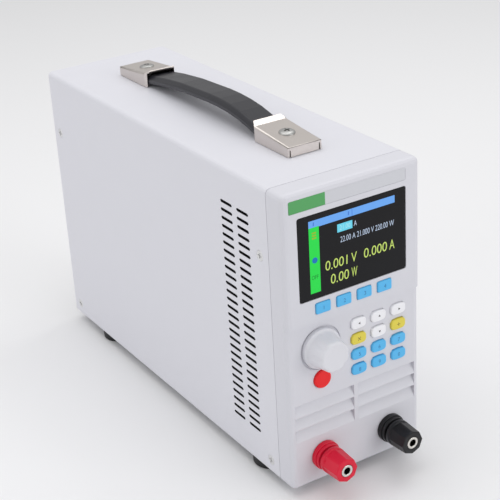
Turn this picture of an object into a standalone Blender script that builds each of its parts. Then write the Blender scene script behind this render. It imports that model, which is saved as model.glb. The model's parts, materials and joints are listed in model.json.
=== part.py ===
"""Bench DC electronic load in a slim upright case.

Case frame: X to the right, Y from the front panel to the back, Z up. Case sizes are counted from the
lower front panel (Y) and from the underside of the case (Z). One empty carries that frame, so that the
model's own origin lies on the table, below the middle of the whole instrument. All sizes are in metres.
"""

import bpy
import bmesh
from math import cos, pi, radians, sin, sqrt
from mathutils import Matrix, Vector

# Case
CASE_WIDTH = 0.0832
CASE_DEPTH = 0.2583
CASE_HEIGHT = 0.1665
CASE_CORNER_RADIUS = 0.0028
SHEET = 0.0010
CHASSIS_SHEET = 0.0012
GAP = 0.0003
FOOT_HEIGHT = 0.0054
HALF_WIDTH = CASE_WIDTH / 2

# Front panel moulding. Its layout keeps its shares of the case's width and height.
BEZEL_DEPTH = 0.0122
BEZEL_WALL = 0.0022
PANEL_THICKNESS = 0.0026
UPPER_PROUD = 0.0011
STEP_Z = 0.5664 * CASE_HEIGHT
BEZEL_BOSS_RADIUS = 0.0030
CHASSIS_FRONT_Y = 0.0146

# Display
WINDOW_LOW = (-0.398 * CASE_WIDTH, 0.6475 * CASE_HEIGHT)
WINDOW_HIGH = (0.389 * CASE_WIDTH, 0.9183 * CASE_HEIGHT)
WINDOW_CORNER = 0.0012
WINDOW_THICKNESS = 0.0015
WINDOW_SET_BACK = 0.0002
WINDOW_LEDGE = 0.0025
DISPLAY_THICKNESS = 0.0046

# Name strip recess, left bare
STRIP_LOW = (-0.4555 * CASE_WIDTH, 0.9381 * CASE_HEIGHT)
STRIP_HIGH = (0.391 * CASE_WIDTH, 0.979 * CASE_HEIGHT)
STRIP_DEPTH = 0.0003

# Keys
KEY_TRAVEL = 0.0008
KEY_HOLE_GAP = 0.0003
KEY_FLANGE_LIP = 0.0004
KEY_FLANGE_THICKNESS = 0.0007
SOFT_KEY_SIZE = (0.0087, 0.0058)
SOFT_KEY_CORNER = 0.0009
SOFT_KEY_COUNT = 4
SOFT_KEY_FIRST_X = -0.238 * CASE_WIDTH
SOFT_KEY_Z = 0.6132 * CASE_HEIGHT
SOFT_KEY_PROUD = 0.0009
KEY_PITCH_X = 0.1526 * CASE_WIDTH
KEY_PITCH_Z = 0.05345 * CASE_HEIGHT
KEY_SIZE = (0.0089, 0.0062)
KEY_BULGE = 0.0006
KEY_CORNER = 0.0014
KEY_PROUD = 0.0013
KEY_FIRST_X = 0.0235 * CASE_WIDTH
KEY_FIRST_Z = 0.5141 * CASE_HEIGHT
KEY_EDGE = 0.0005
KEY_ROWS = (
    ("arrow_left_key", "arrow_up_key", "arrow_right_key"),
    ("shift_key", "arrow_down_key", "enter_key"),
    ("mode_key_1", "mode_key_2", "mode_key_3"),
    ("mode_key_4", "mode_key_5", "mode_key_6"),
)
WHITE_KEYS = ("arrow_left_key", "arrow_up_key", "arrow_right_key", "arrow_down_key")
YELLOW_KEYS = ("shift_key", "enter_key")

# Louvres
LOUVRE_SIDE_MARGIN = 0.0031
LOUVRE_TOP_Z = 0.3003 * CASE_HEIGHT
LOUVRE_PITCH = 0.0438 * CASE_HEIGHT
LOUVRE_COUNT = 3
LOUVRE_DEPTH = 0.0036
LOUVRE_BLADE = 0.0013
LOUVRE_OVERLAP = 0.0009
LOUVRE_LIP = 0.0006
LOUVRE_RIB_WIDTH = 0.0025

# Control board behind the keys
BOARD_THICKNESS = 0.0016
CONTROL_BOARD_Y = 0.0092
CONTROL_BOARD_SIDE_MARGIN = 0.0045
CONTROL_BOARD_TOP_MARGIN = 0.0090
CONTROL_BOARD_RISE = 0.0045
TACT_SIZE = 0.0060
TACT_HEIGHT = 0.0026
TACT_PLUNGER_RADIUS = 0.0017
TACT_PLUNGER_HEIGHT = 0.0006
STANDOFF_RADIUS = 0.0025

# Knob and its encoder
KNOB_X = -0.255 * CASE_WIDTH
KNOB_Z = 0.4745 * CASE_HEIGHT
KNOB_RECESS_RADIUS = 0.0124
KNOB_RECESS_DEPTH = 0.0008
KNOB_SKIRT_RADIUS = 0.0111
KNOB_SKIRT_FRONT = 0.0019
KNOB_BODY_RADIUS = 0.0099
KNOB_FRONT_RADIUS = 0.0086
KNOB_REACH = 0.0130
KNOB_FLUTES = 8
KNOB_FLUTE_RADIUS = 0.0032
KNOB_FLUTE_DEPTH = 0.0009
SHAFT_RADIUS = 0.0030
SHAFT_GAP = 0.00005
BUSHING_RADIUS = 0.0038
ENCODER_SIZE = 0.0120

# Power button, latched in
BUTTON_X = KNOB_X
BUTTON_DROP = 0.0180
BUTTON_RADIUS = 0.0050
BUTTON_PROUD = 0.0014
BUTTON_TRAVEL = 0.0025
BUTTON_GAP = 0.00035
BUTTON_STEM_RADIUS = 0.0016
SWITCH_SIZE = 0.0085
SWITCH_FRONT_Y = 0.0066

# Binding posts
POST_SPACING = 0.513 * CASE_WIDTH
POST_Z = 0.0937 * CASE_HEIGHT
POST_FLANGE_RADIUS = 0.0080
POST_FLANGE_THICKNESS = 0.0026
POST_COLLAR_RADIUS = 0.0074
POST_COLLAR_THICKNESS = 0.0021
POST_BUSH_RADIUS = 0.0048
POST_HOLE_GAP = 0.0003
POST_REACH = 0.0203
POST_CAP_INSET = 0.0002
POST_CAP_RADIUS = 0.0074
POST_CAP_FRONT_RADIUS = 0.0067
POST_CAP_RING = 0.0030
POST_CAP_SIDES = 8
POST_STUD_RADIUS = 0.0034
POST_BORE_RADIUS = 0.0020
POST_BORE_DEPTH = 0.0180
POST_WASHER_RADIUS = 0.0060
POST_WASHER_THICKNESS = 0.0008
POST_TAIL = 0.0120
POST_NUT_RADIUS = 0.0050
POST_NUT_THICKNESS = 0.0025

# Side vents
VENT_COLUMNS_Y = (0.03485, 0.05015)
VENT_LENGTH = 0.0113
VENT_WIDTH = 0.0017
VENT_COUNT = 28
VENT_TOP_Z = 0.8835 * CASE_HEIGHT
VENT_PITCH = 0.0278 * CASE_HEIGHT
VENT_ARC_STEPS = 2
VENT_ROWS_PER_SEAM = 7

# Case screws
SCREW_FRONT_Y = 0.0205
SCREW_REAR_MARGIN = 0.0078
SCREW_LOW_Z = 0.0087
SCREW_HIGH_Z = 0.7724 * CASE_HEIGHT
SCREW_HEAD_RADIUS = 0.0028
SCREW_SHANK_RADIUS = 0.00145
SCREW_HOLE_RADIUS = 0.0018
SCREW_LENGTH = 0.0040

# Cover and chassis
COVER_LIP = 0.0080
CHASSIS_FLANGE_HEIGHT = 0.0140
CHASSIS_EAR_DEPTH = 0.0120
CHASSIS_TOP_CLEARANCE = 0.0015
REAR_RECESS = 0.0010

# Feet
FOOT_SIDE_MARGIN = 0.0114
FOOT_FRONT_Y = 0.0388
FOOT_REAR_MARGIN = 0.0388
FOOT_RADIUS = 0.0104
FOOT_ROUNDING = 0.0012
FOOT_SPIGOT_RADIUS = 0.0022

# Carrying handle
HANDLE_FRONT_Y = 0.0388
HANDLE_REAR_MARGIN = 0.0368
HANDLE_CAP_WIDTH = 0.0205
HANDLE_CAP_LENGTH = 0.0312
HANDLE_CAP_LIP = 0.0036
HANDLE_CAP_LOW = 0.0056
HANDLE_CAP_HIGH = 0.0085
HANDLE_CAP_RISE = 0.0019
HANDLE_CAP_SHEET = 0.0011
HANDLE_CAP_SLIT = 0.0006
HANDLE_CAP_TAPER = 0.0020
HANDLE_SCREW_INSET = 0.0160
HANDLE_HEAD_RADIUS = 0.0044
HANDLE_HEAD_HEIGHT = 0.0009
HANDLE_SHANK_RADIUS = 0.0017
STRAP_WIDTH = 0.0174
STRAP_TOP_WIDTH = 0.0134
STRAP_THICKNESS = 0.0045
STRAP_EDGE_BOTTOM = 0.0016
STRAP_CROWN = 0.0062
STRAP_CROWN_POWER = 2.6
STRAP_FORWARD_SWELL = 0.0024
STRAP_TONGUE = 0.0030
STRAP_TONGUE_BOTTOM = 0.0001
STRAP_END_INSET = 0.0085
STRAP_SLOT = 0.0080
STRAP_SLOT_WIDTH = 0.0046
STRAP_STEPS = 16

# Rear panel
FAN_SIZE = 0.0600
FAN_DEPTH = 0.0150
FAN_Z = 0.7207 * CASE_HEIGHT
FAN_BORE_RADIUS = 0.0285
FAN_CORNER_HOLE = 0.0021
FAN_HOLE_SPACING = 0.0500
FAN_HUB_RADIUS = 0.0110
FAN_BLADE_RADIUS = 0.0272
FAN_BLADES = 7
FAN_BLADE_PITCH = 38.0
FAN_BLADE_THICKNESS = 0.0012
FAN_BEARING_RADIUS = 0.0020
GUARD_WIRE_RADIUS = 0.0008
GUARD_RINGS = (0.0105, 0.0180, 0.0255)
GUARD_EYE_RADIUS = 0.0034

INLET_X = -0.0080
INLET_Z = 0.0330
INLET_FLANGE = (0.0500, 0.0310)
INLET_FLANGE_THICKNESS = 0.0037
INLET_BODY = (0.0274, 0.0280)
INLET_DEPTH = 0.0300
INLET_CAVITY = (0.0244, 0.0164)
INLET_CAVITY_DEPTH = 0.0170
INLET_CAVITY_DROP = 0.0046
INLET_PIN_SPACING = 0.0140
INLET_PIN_SIZE = (0.0020, 0.0040)
INLET_PIN_LENGTH = 0.0120
DRAWER_SIZE = (0.0220, 0.0070)
DRAWER_RISE = 0.0095
DRAWER_LENGTH = 0.0180
DRAWER_GRIP = 0.0015
DRAWER_GAP = 0.0003

# Inside
SINK_FRONT_Y = 0.5807 * CASE_DEPTH
SINK_REAR_MARGIN = 0.0193
SINK_SIDE_MARGIN = 0.0076
SINK_BASE_Z = 0.4204 * CASE_HEIGHT
SINK_TOP_MARGIN = 0.0165
SINK_BASE_THICKNESS = 0.0060
SINK_FIN_THICKNESS = 0.0016
SINK_FINS = 11
SINK_LEG = 0.0030
POWER_BOARD_SIDE_MARGIN = 0.0116
POWER_BOARD_FRONT_Y = 0.1703 * CASE_DEPTH
POWER_BOARD_REAR_Y = 0.8440 * CASE_DEPTH
POWER_BOARD_Z = 0.0090
CAPACITOR_Y = 0.4646 * CASE_DEPTH
CAPACITOR_RADIUS = 0.0110
CAPACITOR_HEIGHT = 0.0300
TRANSISTORS = 4
TRANSISTOR_SIZE = (0.0100, 0.0050, 0.0180)
TRANSISTOR_SET_BACK = 0.0200
CONNECTOR_SIZE = (0.0400, 0.0080, 0.0110)
TRANSFORMER_FRONT_Y = 0.2168 * CASE_DEPTH
TRANSFORMER_REAR_Y = 0.3871 * CASE_DEPTH
TRANSFORMER_HEIGHT = 0.0420
TRANSFORMER_CORE = 0.0160

# Worked out from the sizes above
REAR_FACE_Y = CASE_DEPTH - REAR_RECESS
REAR_INNER_Y = REAR_FACE_Y - CHASSIS_SHEET
REAR_REACH = REAR_FACE_Y + GAP + INLET_FLANGE_THICKNESS
ORIGIN_Y = (REAR_REACH - POST_REACH) / 2
CHASSIS_HALF_WIDTH = HALF_WIDTH - SHEET - GAP
CHASSIS_FLOOR_Z = SHEET + GAP
CHASSIS_FLOOR_TOP = CHASSIS_FLOOR_Z + CHASSIS_SHEET
BOARD_REAR_Y = CONTROL_BOARD_Y + BOARD_THICKNESS
LOUVRE_HALF_WIDTH = HALF_WIDTH - LOUVRE_SIDE_MARGIN
CONTROL_BOARD_HALF = HALF_WIDTH - CONTROL_BOARD_SIDE_MARGIN
CONTROL_BOARD_LOW = (-CONTROL_BOARD_HALF, LOUVRE_TOP_Z + CONTROL_BOARD_RISE)
CONTROL_BOARD_HIGH = (CONTROL_BOARD_HALF, CASE_HEIGHT - CONTROL_BOARD_TOP_MARGIN)
BUTTON_Z = KNOB_Z - BUTTON_DROP
SCREW_REAR_Y = CASE_DEPTH - SCREW_REAR_MARGIN
FOOT_X = HALF_WIDTH - FOOT_SIDE_MARGIN
FOOT_REAR_Y = CASE_DEPTH - FOOT_REAR_MARGIN
HANDLE_REAR_Y = CASE_DEPTH - HANDLE_REAR_MARGIN
SINK_REAR_Y = CASE_DEPTH - SINK_REAR_MARGIN
SINK_HALF_WIDTH = HALF_WIDTH - SINK_SIDE_MARGIN
SINK_TOP_Z = CASE_HEIGHT - SINK_TOP_MARGIN
POWER_BOARD_HALF = HALF_WIDTH - POWER_BOARD_SIDE_MARGIN
POWER_BOARD_LOW = (-POWER_BOARD_HALF, POWER_BOARD_FRONT_Y)
POWER_BOARD_HIGH = (POWER_BOARD_HALF, POWER_BOARD_REAR_Y)

FINISHES = {
    "case_paint": ((0.80, 0.81, 0.84), 0.45, 0.0),
    "bezel_plastic": ((0.77, 0.78, 0.81), 0.42, 0.0),
    "knob_plastic": ((0.80, 0.80, 0.84), 0.38, 0.0),
    "plated_steel": ((0.62, 0.62, 0.60), 0.35, 1.0),
    "window_acrylic": ((0.01, 0.01, 0.012), 0.12, 0.0),
    "display_metal": ((0.35, 0.35, 0.36), 0.40, 1.0),
    "blue_key": ((0.10, 0.53, 0.95), 0.45, 0.0),
    "white_key": ((0.82, 0.83, 0.86), 0.45, 0.0),
    "yellow_key": ((0.78, 0.63, 0.07), 0.45, 0.0),
    "red_button": ((0.75, 0.03, 0.03), 0.35, 0.0),
    "red_post": ((0.60, 0.01, 0.03), 0.35, 0.0),
    "black_post": ((0.013, 0.013, 0.016), 0.35, 0.0),
    "nickel": ((0.75, 0.73, 0.69), 0.22, 1.0),
    "satin_steel": ((0.58, 0.56, 0.53), 0.38, 1.0),
    "strap_rubber": ((0.04, 0.04, 0.045), 0.62, 0.0),
    "foot_rubber": ((0.012, 0.012, 0.014), 0.70, 0.0),
    "board_green": ((0.01, 0.13, 0.05), 0.45, 0.0),
    "black_plastic": ((0.015, 0.015, 0.017), 0.45, 0.0),
    "aluminium": ((0.70, 0.71, 0.72), 0.35, 1.0),
}


def new_collection(name):
    """Make a collection in the scene."""
    collection = bpy.data.collections.new(name)
    bpy.context.scene.collection.children.link(collection)
    return collection


def clear_scene():
    """Remove every object that the scene starts with."""
    for item in list(bpy.data.objects):
        bpy.data.objects.remove(item, do_unlink=True)


def finish_material(name):
    """Return the Principled material of a finish, made on first use."""
    if name in bpy.data.materials:
        return bpy.data.materials[name]
    colour, roughness, metallic = FINISHES[name]
    material = bpy.data.materials.new(name)
    material.use_nodes = True
    shader = material.node_tree.nodes["Principled BSDF"]
    shader.inputs["Base Color"].default_value = (*colour, 1.0)
    shader.inputs["Roughness"].default_value = roughness
    shader.inputs["Metallic"].default_value = metallic
    return material


clear_scene()
PARTS = new_collection("electronic_load")
CUTTERS = new_collection("cutters")
CASE = bpy.data.objects.new("case_frame", None)
CASE.location = (0.0, -ORIGIN_Y, FOOT_HEIGHT)
PARTS.objects.link(CASE)


def add_part(name, mesh, finish, location=(0.0, 0.0, 0.0), rotation=(0.0, 0.0, 0.0)):
    """Add a named sub-part to the case frame."""
    part = bpy.data.objects.new(name, mesh)
    part.parent = CASE
    part.location = location
    part.rotation_euler = rotation
    mesh.materials.append(finish_material(finish))
    PARTS.objects.link(part)
    return part


def add_cutter(name, mesh, location=(0.0, 0.0, 0.0), rotation=(0.0, 0.0, 0.0)):
    """Add a hidden shape that a Boolean cuts with or joins."""
    cutter = bpy.data.objects.new(name, mesh)
    cutter.parent = CASE
    cutter.location = location
    cutter.rotation_euler = rotation
    cutter.hide_render = True
    cutter.display_type = "WIRE"
    CUTTERS.objects.link(cutter)
    return cutter


def boolean(part, tool, operation="DIFFERENCE"):
    """Cut a tool from a part, or join it on."""
    modifier = part.modifiers.new(tool.name, "BOOLEAN")
    modifier.operation = operation
    modifier.solver = "EXACT"
    modifier.object = tool
    return modifier


def finished_mesh(bm, name, smooth_angle=None):
    """Turn a bmesh into a mesh with its faces pointing out."""
    bmesh.ops.recalc_face_normals(bm, faces=bm.faces)
    mesh = bpy.data.meshes.new(name)
    bm.to_mesh(mesh)
    bm.free()
    if smooth_angle is not None:
        mesh.shade_smooth()
        mesh.set_sharp_from_angle(angle=radians(smooth_angle))
    return mesh


def add_block(bm, low, high):
    """Add a box between two corners and return its vertices."""
    low = Vector(low)
    high = Vector(high)
    verts = bmesh.ops.create_cube(bm, size=1.0)["verts"]
    bmesh.ops.scale(bm, vec=high - low, verts=verts)
    bmesh.ops.translate(bm, vec=(low + high) / 2, verts=verts)
    return verts


AXIS_TURNS = {
    "X": Matrix.Rotation(radians(90), 4, "Y"),
    "Y": Matrix.Rotation(radians(-90), 4, "X"),
    "Z": Matrix.Identity(4),
}


def add_rod(bm, axis, centre, start, end, radius, end_radius=None, segments=32):
    """Add a cylinder or cone along an axis.

    centre holds the two other coordinates, in X, Y, Z order; start and end are places on the axis.
    """
    if end_radius is None:
        end_radius = radius
    middle = (start + end) / 2
    first, second = centre
    place = {
        "X": (middle, first, second),
        "Y": (first, middle, second),
        "Z": (first, second, middle),
    }[axis]
    matrix = Matrix.Translation(place) @ AXIS_TURNS[axis]
    made = bmesh.ops.create_cone(
        bm, cap_ends=True, segments=segments, radius1=radius, radius2=end_radius,
        depth=end - start, matrix=matrix)
    return made["verts"]


def add_prism(bm, outline, axis, start, end):
    """Extrude a flat outline along an axis.

    Outline points are pairs of the two other coordinates, in X, Y, Z order.
    """
    def place(point, along):
        first, second = point
        return {
            "X": (along, first, second),
            "Y": (first, along, second),
            "Z": (first, second, along),
        }[axis]
    verts = [bm.verts.new(place(point, start)) for point in outline]
    face = bm.faces.new(verts)
    made = bmesh.ops.extrude_face_region(bm, geom=[face])["geom"]
    moved = [item for item in made if isinstance(item, bmesh.types.BMVert)]
    shift = Vector(place((0.0, 0.0), end - start))
    bmesh.ops.translate(bm, vec=shift, verts=moved)
    return verts + moved


def bevel_edges(bm, edges, width, segments=1):
    """Round or chamfer chosen edges."""
    bmesh.ops.bevel(
        bm, geom=edges, offset=width, offset_type="OFFSET", segments=segments,
        profile=0.5, affect="EDGES", material=-1)


def arc(centre, radius, first, last, steps):
    """Points on an arc between two angles, given in degrees."""
    points = []
    for step in range(steps + 1):
        angle = radians(first + (last - first) * step / steps)
        points.append((centre[0] + radius * cos(angle), centre[1] + radius * sin(angle)))
    return points


def rounded_rectangle(centre, size, corner, steps=3):
    """Outline of a rectangle with round corners."""
    half_x = size[0] / 2 - corner
    half_y = size[1] / 2 - corner
    points = []
    for turn, (sign_x, sign_y) in enumerate(((1, 1), (-1, 1), (-1, -1), (1, -1))):
        corner_centre = (centre[0] + sign_x * half_x, centre[1] + sign_y * half_y)
        points += arc(corner_centre, corner, 90 * turn, 90 * turn + 90, steps)
    return points


def stadium(centre, length, width, steps):
    """Outline of a slot with round ends that runs along the first coordinate."""
    half = (length - width) / 2
    right = arc((centre[0] + half, centre[1]), width / 2, -90, 90, steps)
    left = arc((centre[0] - half, centre[1]), width / 2, 90, 270, steps)
    return right + left


def barrel(size, bulge, corner, grow=0.0):
    """Outline of a key whose top and bottom edges bow outwards, with its corners taken off."""
    half_x = size[0] / 2 + grow
    half_z = size[1] / 2 + grow
    side_z = half_z - bulge - corner
    points = []
    for sign in (1, -1):
        points += [
            (sign * half_x, sign * side_z),
            (sign * (half_x - corner), sign * (half_z - bulge * 0.5)),
            (0.0, sign * half_z),
            (-sign * (half_x - corner), sign * (half_z - bulge * 0.5)),
            (-sign * half_x, sign * side_z),
        ]
    return points


def turned(name, profile, steps, add, location, rotation, closed=False, **options):
    """Screw a profile of (radius, height) points about its own Z axis."""
    mesh = bpy.data.meshes.new(name)
    edges = [(index, index + 1) for index in range(len(profile) - 1)]
    if closed:
        edges.append((len(profile) - 1, 0))
    mesh.from_pydata([(radius, 0.0, height) for radius, height in profile], edges, [])
    part = add(name, mesh, location=location, rotation=rotation, **options)
    screw = part.modifiers.new("turn", "SCREW")
    screw.steps = steps
    screw.render_steps = steps
    screw.use_merge_vertices = True
    screw.merge_threshold = 0.00001
    screw.use_smooth_shade = True
    return part


# Local Z of a turned piece points out of the front panel.
FACING_FRONT = (radians(90), 0.0, 0.0)


def folded_sheet(name, path, start, end, thickness, finish):
    """Bend a sheet along a path in X and Z, running from start to end in Y."""
    bm = bmesh.new()
    verts = [bm.verts.new((x, start, z)) for x, z in path]
    edges = [bm.edges.new(pair) for pair in zip(verts, verts[1:])]
    made = bmesh.ops.extrude_edge_only(bm, edges=edges)["geom"]
    moved = [item for item in made if isinstance(item, bmesh.types.BMVert)]
    bmesh.ops.translate(bm, vec=(0.0, end - start, 0.0), verts=moved)
    bmesh.ops.reverse_faces(bm, faces=bm.faces)
    mesh = bpy.data.meshes.new(name)
    bm.to_mesh(mesh)
    bm.free()
    sheet = add_part(name, mesh, finish)
    solid = sheet.modifiers.new("sheet", "SOLIDIFY")
    solid.thickness = thickness
    solid.offset = -1.0
    solid.use_even_offset = True
    return sheet


def screw_places():
    """Side, Y and Z of each case screw."""
    for side in (-1, 1):
        for y in (SCREW_FRONT_Y, SCREW_REAR_Y):
            for z in (SCREW_LOW_Z, SCREW_HIGH_Z):
                yield side, y, z


def handle_screw_ys():
    """Y of the two handle screws."""
    return HANDLE_FRONT_Y + HANDLE_SCREW_INSET, HANDLE_REAR_Y - HANDLE_SCREW_INSET


def key_centre(row, column):
    """X and Z of a key in the block of keys."""
    return KEY_FIRST_X + column * KEY_PITCH_X, KEY_FIRST_Z - row * KEY_PITCH_Z


def soft_key_centre(index):
    """X and Z of a key below the display."""
    return SOFT_KEY_FIRST_X + index * KEY_PITCH_X, SOFT_KEY_Z


def build_cover():
    """Folded cover: top, both sides and a short lip under each side."""
    radius = CASE_CORNER_RADIUS
    left = -HALF_WIDTH + radius
    right = HALF_WIDTH - radius
    top = CASE_HEIGHT - radius
    # Seams across the sides, one every few rows, keep the faces around the slots simple.
    strips = [
        VENT_TOP_Z + (0.5 - index) * VENT_PITCH
        for index in range(0, VENT_COUNT + 1, VENT_ROWS_PER_SEAM)]
    path = [(-HALF_WIDTH + COVER_LIP, 0.0)]
    path += arc((left, radius), radius, 270, 180, 4)
    path += [(-HALF_WIDTH, z) for z in reversed(strips)]
    path += arc((left, top), radius, 180, 90, 4)
    path += arc((right, top), radius, 90, 0, 4)
    path += [(HALF_WIDTH, z) for z in strips]
    path += arc((right, radius), radius, 0, -90, 4)
    path.append((HALF_WIDTH - COVER_LIP, 0.0))
    cover = folded_sheet(
        "top_cover", path, BEZEL_DEPTH + GAP, CASE_DEPTH, SHEET, "case_paint")

    bm = bmesh.new()
    reach = HALF_WIDTH + SHEET
    for y in VENT_COLUMNS_Y:
        for index in range(VENT_COUNT):
            z = VENT_TOP_Z - index * VENT_PITCH
            outline = stadium((y, z), VENT_LENGTH, VENT_WIDTH, VENT_ARC_STEPS)
            add_prism(bm, outline, "X", -reach, reach)
    for side, y, z in screw_places():
        outer = side * (HALF_WIDTH + GAP)
        inner = side * (HALF_WIDTH - SHEET - GAP)
        head = SCREW_HEAD_RADIUS + 2 * GAP
        if side > 0:
            add_rod(bm, "X", (y, z), inner, outer, SCREW_HOLE_RADIUS, head, segments=10)
        else:
            add_rod(bm, "X", (y, z), outer, inner, head, SCREW_HOLE_RADIUS, segments=10)
    for y in handle_screw_ys():
        add_rod(
            bm, "Z", (0.0, y), CASE_HEIGHT - 2 * SHEET, CASE_HEIGHT + SHEET,
            HANDLE_SHANK_RADIUS + GAP, segments=8)
    boolean(cover, add_cutter("cover_openings", finished_mesh(bm, "cover_openings")))


def build_case_screws():
    """Countersunk screws through the cover into the chassis."""
    bm = bmesh.new()
    head_depth = SHEET
    add_rod(
        bm, "X", (0.0, 0.0), -head_depth, 0.0,
        SCREW_SHANK_RADIUS, SCREW_HEAD_RADIUS, segments=10)
    mesh = finished_mesh(bm, "case_screw_head", 30)
    bm = bmesh.new()
    add_rod(
        bm, "X", (0.0, 0.0), -SCREW_LENGTH, -head_depth / 2,
        SCREW_SHANK_RADIUS * 0.98, segments=6)
    shank = finished_mesh(bm, "case_screw_shank", 30)
    for number, (side, y, z) in enumerate(screw_places(), start=1):
        place = (side * HALF_WIDTH, y, z)
        turn = (0.0, 0.0, 0.0 if side > 0 else pi)
        name = "case_screw_%d" % number
        screw = add_part(name, mesh.copy(), "plated_steel", place, turn)
        boolean(screw, add_cutter(name + "_shank", shank, place, turn), "UNION")


def corner_cut_plate(bm, half, low, high, cut, cut_top, front, rear):
    """Add an upright plate whose lower corners, and upper ones if wanted, are cut off."""
    outline = [(-half + cut, low), (half - cut, low), (half, low + cut)]
    if cut_top:
        outline += [(half, high - cut), (half - cut, high), (-half + cut, high), (-half, high - cut)]
    else:
        outline += [(half, high), (-half, high)]
    outline.append((-half, low + cut))
    add_prism(bm, outline, "Y", front, rear)


def build_chassis():
    """Folded chassis: floor, side flanges, front wall with ears and pressed-in standoffs."""
    back = REAR_INNER_Y - GAP
    half = CHASSIS_HALF_WIDTH
    front = CHASSIS_FRONT_Y
    sheet = CHASSIS_SHEET
    floor = CHASSIS_FLOOR_Z
    top = CASE_HEIGHT - SHEET - CHASSIS_TOP_CLEARANCE
    flange_top = floor + CHASSIS_FLANGE_HEIGHT
    radius = CASE_CORNER_RADIUS - SHEET - GAP
    path = [(half, flange_top)]
    path += arc((half - radius, floor + radius), radius, 0, -90, 2)
    path += arc((-half + radius, floor + radius), radius, 270, 180, 2)
    path.append((-half, flange_top))
    chassis = folded_sheet(
        "base_chassis", path, BEZEL_DEPTH + GAP, back, sheet, "plated_steel")

    bm = bmesh.new()
    corner_cut_plate(
        bm, half - sheet / 4, floor + sheet / 2, top, CASE_CORNER_RADIUS, False,
        front, front + sheet)
    wall = add_cutter("chassis_front_wall", finished_mesh(bm, "chassis_front_wall"))
    boolean(chassis, wall, "UNION")
    bm = bmesh.new()
    for side in (-1, 1):
        add_block(
            bm, (min(side * half, side * (half - sheet)), front, floor + CASE_CORNER_RADIUS),
            (max(side * half, side * (half - sheet)), front + CHASSIS_EAR_DEPTH, top))
    boolean(chassis, add_cutter("chassis_ears", finished_mesh(bm, "chassis_ears")), "UNION")

    bm = bmesh.new()
    for x, z in board_standoffs():
        add_rod(
            bm, "Y", (x, z), BOARD_REAR_Y + GAP, front + sheet / 2, STANDOFF_RADIUS, segments=6)
    for x in (POWER_BOARD_LOW[0], POWER_BOARD_HIGH[0]):
        for y in (POWER_BOARD_LOW[1], POWER_BOARD_HIGH[1]):
            inset_x = x - 0.005 if x > 0 else x + 0.005
            inset_y = y + 0.005 if y < SINK_FRONT_Y else y - 0.005
            add_rod(
                bm, "Z", (inset_x, inset_y), floor + sheet / 2, POWER_BOARD_Z - GAP,
                STANDOFF_RADIUS, segments=6)
    boolean(chassis, add_cutter("standoffs", finished_mesh(bm, "standoffs")), "UNION")

    bm = bmesh.new()
    for side, y, z in screw_places():
        middle = side * half
        add_rod(
            bm, "X", (y, z), middle - 2 * sheet, middle + 2 * sheet,
            SCREW_SHANK_RADIUS + GAP, segments=8)
    for side in (-1, 1):
        add_rod(
            bm, "Y", (side * POST_SPACING / 2, POST_Z), front - sheet, front + 2 * sheet,
            POST_STUD_RADIUS + 2 * GAP, segments=12)
    add_block(
        bm, (-LOUVRE_HALF_WIDTH * 0.8, front - sheet, LOUVRE_TOP_Z - LOUVRE_COUNT * LOUVRE_PITCH),
        (LOUVRE_HALF_WIDTH * 0.8, front + 2 * sheet, LOUVRE_TOP_Z - 0.003))
    boolean(chassis, add_cutter("chassis_holes", finished_mesh(bm, "chassis_holes")))


def board_standoffs():
    """X and Z of the control board's four fixings."""
    inset = 0.0040
    for x in (CONTROL_BOARD_LOW[0] + inset, CONTROL_BOARD_HIGH[0] - inset):
        for z in (CONTROL_BOARD_LOW[1] + inset, CONTROL_BOARD_HIGH[1] - inset):
            yield x, z


def bezel_bosses():
    """X and Z of the moulding's four bosses."""
    inset = BEZEL_WALL + 0.0035
    for x in (-HALF_WIDTH + inset, HALF_WIDTH - inset):
        yield x, LOUVRE_TOP_Z - LOUVRE_COUNT * LOUVRE_PITCH - 0.0040
        yield x, CASE_HEIGHT - inset + 0.0008


def bezel_block(bm, low, high, plain_z):
    """Box with round front and side edges, but for its rear and its plain_z side."""
    verts = add_block(bm, low, high)
    tolerance = 1e-6
    edges = []
    for edge in {edge for vert in verts for edge in vert.link_edges}:
        rear = all(abs(vert.co.y - high[1]) < tolerance for vert in edge.verts)
        plain = all(abs(vert.co.z - plain_z) < tolerance for vert in edge.verts)
        if not rear and not plain:
            edges.append(edge)
    bevel_edges(bm, edges, CASE_CORNER_RADIUS, 3)


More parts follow.
